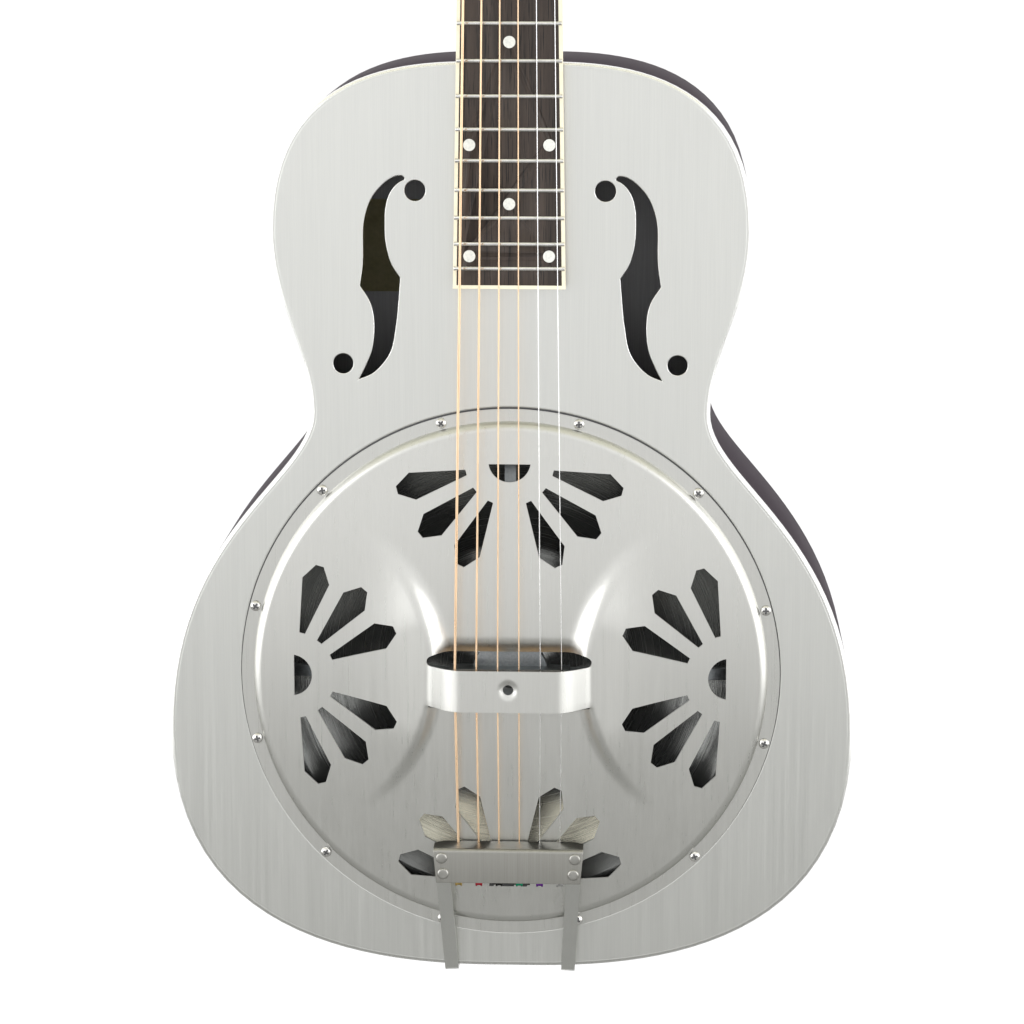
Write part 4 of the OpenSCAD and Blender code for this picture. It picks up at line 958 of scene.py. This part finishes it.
def scatter(first, places, name):
    """Copies of a piece at (x, y, z), each turned its own way, joined to one mesh."""
    copies = [copy_to(first, place, math.radians(47 * i)) for i, place in enumerate(places)]
    bpy.data.objects.remove(first)
    joined = join(copies, name)
    settle(joined)
    return joined


screw_circle = 138.55
ring = [(screw_circle * math.cos(a), screw_circle * math.sin(a), cover_wall)
        for a in (math.radians(30 * i + 15) for i in range(12))]
screws = scatter(pan_head(2.8, 1.8, 1.6), ring, "cover_screw_heads")
hang(screws)
dress(screws, "cover_screw_heads", finishes["nickel"], "nickel", "coverplate_screws")


def in_shadow(face):
    """The faces that take painted shade: the skirt under a screw's head, and the floor of its recess."""
    middle = face.center - cover_middle
    off = abs(math.hypot(middle.x, middle.z) - screw_circle * MM)
    height = (top_sheet_y - face.center.y) / MM - cover_wall
    return height < 0.35 or (height < 1.2 and abs(face.normal.y) > 0.9 and off < 2 * MM)


# skirts and recess floors take the dark steel as painted shade
paint(screws, (painted_shade_steel,), in_shadow)

# %% [markdown]
# Tailpiece
# The tailpiece is one folded sheet: a plate over the string ends, and a flap in front that the strings pass
# through. A line across the fold is drawn, extruded to the width, and given its wall. The flap's lower
# corners are cut in, so the line's lower points are pulled towards the middle.

# %% Tailpiece
tail = {"front": -88.5, "back": -107.0, "top": 25.0, "drop": 15.8, "half": 39.4, "taper": 1.5, "wall": 1.4}
fold_radius = 2.0
fold = [(0, tail["back"], tail["top"])]
for a in [math.radians(15 * i) for i in range(7)]:
    fold.append((0, tail["front"] - fold_radius + fold_radius * math.sin(a),
                 tail["top"] - fold_radius + fold_radius * math.cos(a)))
fold += [(0, tail["front"], tail["top"] - tail["drop"] + 4), (0, tail["front"], tail["top"] - tail["drop"])]
plate_piece = draw("tail_plate", fold)
choose_all(plate_piece)
bpy.ops.transform.translate(value=(-tail["half"] * MM, 0, 0))
extrude(2 * tail["half"] * MM, 0, 0)
tidy_seams(plate_piece)
for point in plate_piece.data.vertices:
    if point.co.y < (tail["back"] + 1) * MM:
        point.co.x *= (tail["half"] - tail["taper"]) / tail["half"]
    if point.co.z < (tail["top"] - tail["drop"] + 1) * MM:
        point.co.x *= (tail["half"] - 4.6) / tail["half"]
tidy_seams(plate_piece)
outward = max(plate_piece.data.polygons, key=lambda face: face.area).normal.z > 0
modify(plate_piece, "SOLIDIFY", thickness=tail["wall"] * MM, offset=-1 if outward else 1,
       use_even_offset=True)
tidy_seams(plate_piece)
modify(plate_piece, "BEVEL", width=0.25 * MM, segments=2, limit_method="ANGLE", angle_limit=math.radians(50))
smooth(plate_piece, 20)
hang(plate_piece)
dress(plate_piece, "tail_plate", tail_steel, "brushed_steel", "tailpiece")

# %% [markdown]
# Rivets and straps
# Four flat rivets join the plate to two straps, which run down over the tail end. One rivet is spun from its
# profile and copied, and the straps only need their edges rounded.

# %% Rivets and straps
rivet = revolve("rivet", [(0, 0.8), (1.9, 0.79), (2.4, 0.74), (2.75, 0.55), (2.95, 0.25), (3.0, 0), (1.4, 0),
                          (1.4, -3), (0, -3)], 28)
smooth(rivet, 50)
rivets = scatter(rivet, [(s * x, y, tail["top"]) for s in (1, -1)
                         for x, y in ((35.0, tail["front"] - 5), (34.2, tail["back"] + 5))], "rivets")
hang(rivets)
dress(rivets, "rivets", finishes["rivet_steel"], "nickel", "tailpiece_rivets")
soften("tailpiece_straps", 0.3, angle=40)

# %% [markdown]
# Strings
# The strings are tubes from the tailpiece over the saddles to the windings at the head. All six come as one
# mesh. A string's place between the others tells its wire: those on the treble side of a line that starts
# 11.1 mm out at the saddles and nears the middle by 3.4 mm as far as the end of the body are plain steel.

# %% Strings
border_at_saddles = 11.1
border_slope = 3.4 / 318
strings = soft_copy("strings", 0, shade=60)
dress(strings, "strings_soft", finishes["bronze_wire"], "bronze_wire", "strings")


def is_plain(face):
    flat_y = (face.center.z - cover_middle.z) / MM
    return face.center.x > (border_at_saddles - border_slope * max(0, flat_y)) * MM


paint(strings, (finishes["plain_wire"],), is_plain)

# %% [markdown]
# Ball ends
# Each string ends in a small brass barrel, dyed in its own colour so that a set can be told apart. They show
# under the edge of the tailpiece. One barrel is spun from its profile and copied for the six strings.

# %% Ball ends
ball_colours = {"ball_gold": (0.78, 0.56, 0.2), "ball_red": (0.7, 0.05, 0.08),
                "ball_black": (0.03, 0.03, 0.03), "ball_green": (0.03, 0.42, 0.22),
                "ball_purple": (0.24, 0.06, 0.45), "ball_silver": (0.7, 0.7, 0.7)}
tail_spread = 53.6
barrel = revolve("barrel", [
    (0.8, -1.7), (1.9, -1.8), (2.2, -1.5), (2.2, -1.2), (1.7, -0.6), (1.7, 0.6), (2.2, 1.2), (2.2, 1.5),
    (1.9, 1.8), (0.8, 1.7), (0.8, -1.7)], 20)
barrel.rotation_euler.y = math.radians(90)
settle(barrel)
smooth(barrel, 40)
for i, (name, colour) in enumerate(ball_colours.items()):
    ball = copy_to(barrel, (tail_spread * (i - 2.5) / 5, -110.8, 10.4))
    hang(ball)
    dress(ball, name, polished(name, colour, tuple(0.6 * c for c in colour), 0.3), "brass", "ball_ends")
bpy.data.objects.remove(barrel)

# %% [markdown]
# Wood
# The fingerboard is rosewood, dark brown with long open pores and paler streaks. The neck is mahogany, and
# the saddles, blocks and stick are maple. All three are the same recipe: a fine noise drawn out along the
# grain for pores, a wider one for streaks, and a slow one for the change from one side of the plank to the
# other. Their colours and the share of pores make the species.

# %% Wood finishes
def wood(name, light, dark, pore, pore_share, roughness):
    finish = Finish(name, specular_ior_level=0.35)
    along = (1, 1, 0.02)
    pores = finish.noise(tuple(1500 * a for a in along), 3, 0.6)
    streaks = finish.noise(tuple(260 * a for a in along), 4, 0.6)
    plank = finish.noise(tuple(40 * a for a in along), 2)
    open_pore = finish.ramp(pores, 0.62 - pore_share, 0.68 - pore_share)
    body = finish.mix(finish.ramp(streaks * 0.7 + plank * 0.3, 0.34, 0.66), dark, light)
    finish.set(base_color=finish.mix(open_pore, body, pore),
               roughness=finish.ramp(streaks, 0.3, 0.7, roughness + 0.06, roughness - 0.06),
               normal=finish.bump(1 - open_pore, 0.05 * MM, 0.5))
    return finish.material


for recipe in (
        ("rosewood", (0.062, 0.044, 0.034), (0.020, 0.0145, 0.012), (0.008, 0.006, 0.005), 0.06, 0.52),
        ("mahogany", (0.21, 0.085, 0.038), (0.12, 0.045, 0.02), (0.05, 0.018, 0.009), 0.03, 0.28),
        ("maple", (0.62, 0.43, 0.24), (0.48, 0.31, 0.16), (0.36, 0.22, 0.11), 0.0, 0.42)):
    finishes[recipe[0]] = wood(*recipe)


# %% [markdown]
# Plastics, bone, lacquer and paper
# Ivory plastic and bone are never one colour: they yellow in patches, and light goes a little way in. Pearl
# shimmers in small cells. Black lacquer is a mirror with faint waves, and the maker's label is dull card.

# %% Smooth finishes
def cast(name, light, dark, roughness, grain, depth=0.01, coat=0.0):
    finish = Finish(name, coat_weight=coat)
    patch = finish.noise((grain, grain, grain), 3)
    fleck = finish.noise((6 * grain, 6 * grain, 6 * grain), 2)
    finish.set(base_color=finish.mix(finish.ramp(patch * 0.6 + fleck * 0.4, 0.35, 0.65), dark, light),
               roughness=finish.ramp(fleck, 0.3, 0.7, roughness - 0.04, roughness + 0.06),
               normal=finish.bump(fleck, depth * MM))
    return finish.material


def pearl():
    finish = Finish("pearl_plastic", coat_weight=0.5)
    cells = finish.node("ShaderNodeTexVoronoi", None, {"Vector": finish.place(), "Scale": 900})
    patch = finish.noise((500, 500, 500), 3)
    share = finish.ramp(cells * 0.5 + patch * 0.5, 0.2, 0.6)
    finish.set(base_color=finish.mix(share, (0.58, 0.595, 0.56), (0.72, 0.72, 0.66)),
               roughness=finish.ramp(patch, 0.3, 0.7, 0.18, 0.3))
    return finish.material


finishes["pearl_plastic"] = pearl()
for recipe in (
        ("ivory_plastic", (0.82, 0.78, 0.61), (0.75, 0.69, 0.51), 0.35, 60),
        ("button_plastic", (0.74, 0.68, 0.50), (0.62, 0.55, 0.37), 0.25, 120, 0.01, 0.4),
        ("bone", (0.82, 0.78, 0.64), (0.70, 0.64, 0.48), 0.4, 200),
        ("black_plastic", (0.022, 0.022, 0.023), (0.012, 0.012, 0.012), 0.35, 200),
        ("black_lacquer", (0.016, 0.015, 0.015), (0.010, 0.010, 0.010), 0.12, 25, 0.01, 0.8),
        ("paper", (0.48, 0.44, 0.24), (0.36, 0.33, 0.17), 0.75, 90, 0.03)):
    finishes[recipe[0]] = cast(*recipe)
finishes["well_steel"] = brushed("well_steel", (0.16, 0.155, 0.14), (0.10, 0.095, 0.09), 0.5)


# %% [markdown]
# Spun aluminium
# The cone is spun from a thin aluminium disc over a form. The tool leaves fine rings about its axis, so the
# pattern must follow the distance from the axis: Object coordinates, moved to the cone's middle, give a
# vector, and its length without the depth is that distance.

# %% Spun finish
def spun(name, light, dark, painted_light_tone, roughness):
    finish = Finish(name, metallic=0.8)
    flat = finish.place((1, 0, 1), move=(0, 0, -cover_middle.z))
    radius = finish.node("ShaderNodeVectorMath", {"operation": "LENGTH"}, {0: flat}, out="Value")
    rings = finish.node("ShaderNodeTexNoise", {"noise_dimensions": "1D"},
                        {"W": radius, "Scale": 2600, "Detail": 3})
    cloud = finish.noise((25, 25, 25), 3)
    height = finish.node("ShaderNodeSeparateXYZ", None, {"Vector": finish.place()}, out="Z")
    metal = finish.mix(finish.ramp(rings * 0.6 + cloud * 0.4, 0.35, 0.65), dark, light)
    # a band across the lower cone, paler and lighter: a painted reflection of light that comes in through the
    # lower petals
    painted_light_band = (finish.ramp(height, cover_middle.z - 0.101, cover_middle.z - 0.095)
                * finish.ramp(height, cover_middle.z - 0.078, cover_middle.z - 0.070, 1, 0))
    finish.set(base_color=finish.mix(painted_light_band, metal, painted_light_tone),
               roughness=finish.ramp(rings, 0.3, 0.7, roughness - 0.05, roughness + 0.08),
               normal=finish.bump(rings, 0.08 * MM, 0.7))
    return finish.material


# the aluminium is darkened as painted shade of the dim inside of the body; the pale tone is the band's
# painted reflection
finishes["spun_aluminium"] = spun("spun_aluminium", (0.26, 0.265, 0.255), (0.15, 0.153, 0.148),
                                  (0.62, 0.60, 0.49), 0.2)

# every construction node wears its slot's finish, also those that no new piece replaces
for name, slot in slot_of.items():
    nodes[name].data.materials.clear()
    nodes[name].data.materials.append(finishes[slot])

# %% [markdown]
# Resonator
# Under the cover plate the strings drive a spun cone through a cast bridge with eight legs, called the
# spider. The cone is one profile, spun. Its line is rounded between the construction's corners, because a
# spun sheet has no sharp bends.

# %% Cone
cone_line = [(7, 2.6), (14, 1.2), (56, -17.5), (64, -19.3), (72, -17.5), (118, -1.5), (122, 0), (132, 0)]
cone_height = -12.0
cone_wall = 0.7


def rounded_line(points, share=0.3, steps=5):
    """Corners replaced by short curves."""
    points = [Vector(p) for p in points]
    line = [points[0]]
    for before, corner, after in zip(points, points[1:], points[2:]):
        start = corner.lerp(before, share)
        end = corner.lerp(after, share)
        for i in range(steps + 1):
            t = i / steps
            line.append((1 - t) ** 2 * start + 2 * t * (1 - t) * corner + t ** 2 * end)
    return line + [points[-1]]


skin = [(p.x, p.y + cone_height + cone_wall) for p in rounded_line(cone_line)]
under = [(r, z - cone_wall) for r, z in reversed(skin)]
cone = revolve("cone", [(0, skin[0][1])] + skin + under + [(0, under[-1][1])], 160)
smooth(cone, 50)
hang(cone)
dress(cone, "cone", finishes["spun_aluminium"], "spun_aluminium", "resonator_cone")
soften("spider_bridge", 0.5, angle=30)
soften("saddles", 0.25)
soften("soundwell", 0)

# %% [markdown]
# Label card
# A blank card is glued to the inside of the back, where the bass f-hole shows it. The card is a little taller
# than the construction's, so its upper and lower points move up by different amounts.

# %% Label card
label_lift, label_foot = 12, 4
label = soft_copy("interior_label", 0)
lowest = min(point.co.z for point in label.data.vertices)
highest = max(point.co.z for point in label.data.vertices)
for point in label.data.vertices:
    point.co.z += (label_lift if point.co.z > (lowest + highest) / 2 else label_foot) * MM
dress(label, "label_card", finishes["paper"], "paper", "interior_label")

# %% [markdown]
# Neck and head
# The board, its binding and the frets are right as they are, but their edges are dead sharp. The copies get
# edges of a few tenths of a millimetre, as a scraper and a fret file leave them. The back of the head is one
# flat face among curves, so the neck's normals are weighted by face and it keeps its own.

# %% Neck and head
soften("fingerboard", 0)
soften("board_binding", 0.15)
soften("frets", 0.12, shade=60)
soften("inlay_dots", 0.08)
soften("nut", 0.3)
neck = soften("neck", 0, shade=40)
modify(neck, "WEIGHTED_NORMAL", keep_sharp=True, weight=100)
for name, width in (("head_veneer", 0.2), ("truss_cover", 0.3), ("truss_cover_screws", 0.1),
                    ("tuner_plates", 0.2), ("tuner_bushings", 0.2), ("tuner_screws", 0.1)):
    soften(name, width)
soften("end_pin", 0.3, shade=40)

# %% [markdown]
# The pad and the machines
# A dark pad lies under the tailpiece, with a notch for each of the two middle strings, so their ball ends
# show. Each machine's worm and button ride on its key, and its post and winding on its post.

# %% Pad and machines
pad = soften("tailpiece_pad", 0.4)
notch_half = 2.3
for x in (-5.36, 5.36):
    left, right = x - notch_half, x + notch_half
    notch = block("notch", [(left, -110), (right, -110), (right, -105), (left, -105)], 15, 30)
    hang(notch)
    cut(pad, notch)
for n in range(1, 7):
    soften(f"tuner_post_{n}", 0.1, body=f"post_{n}", shade=40)
    soften(f"tuner_worm_{n}", 0.05, body=f"key_{n}", shade=40)
    soften(f"tuner_button_{n}", 0.9, body=f"key_{n}", segments=3, shade=50)
    soften(f"string_winding_{n}", 0, body=f"post_{n}", shade=50)
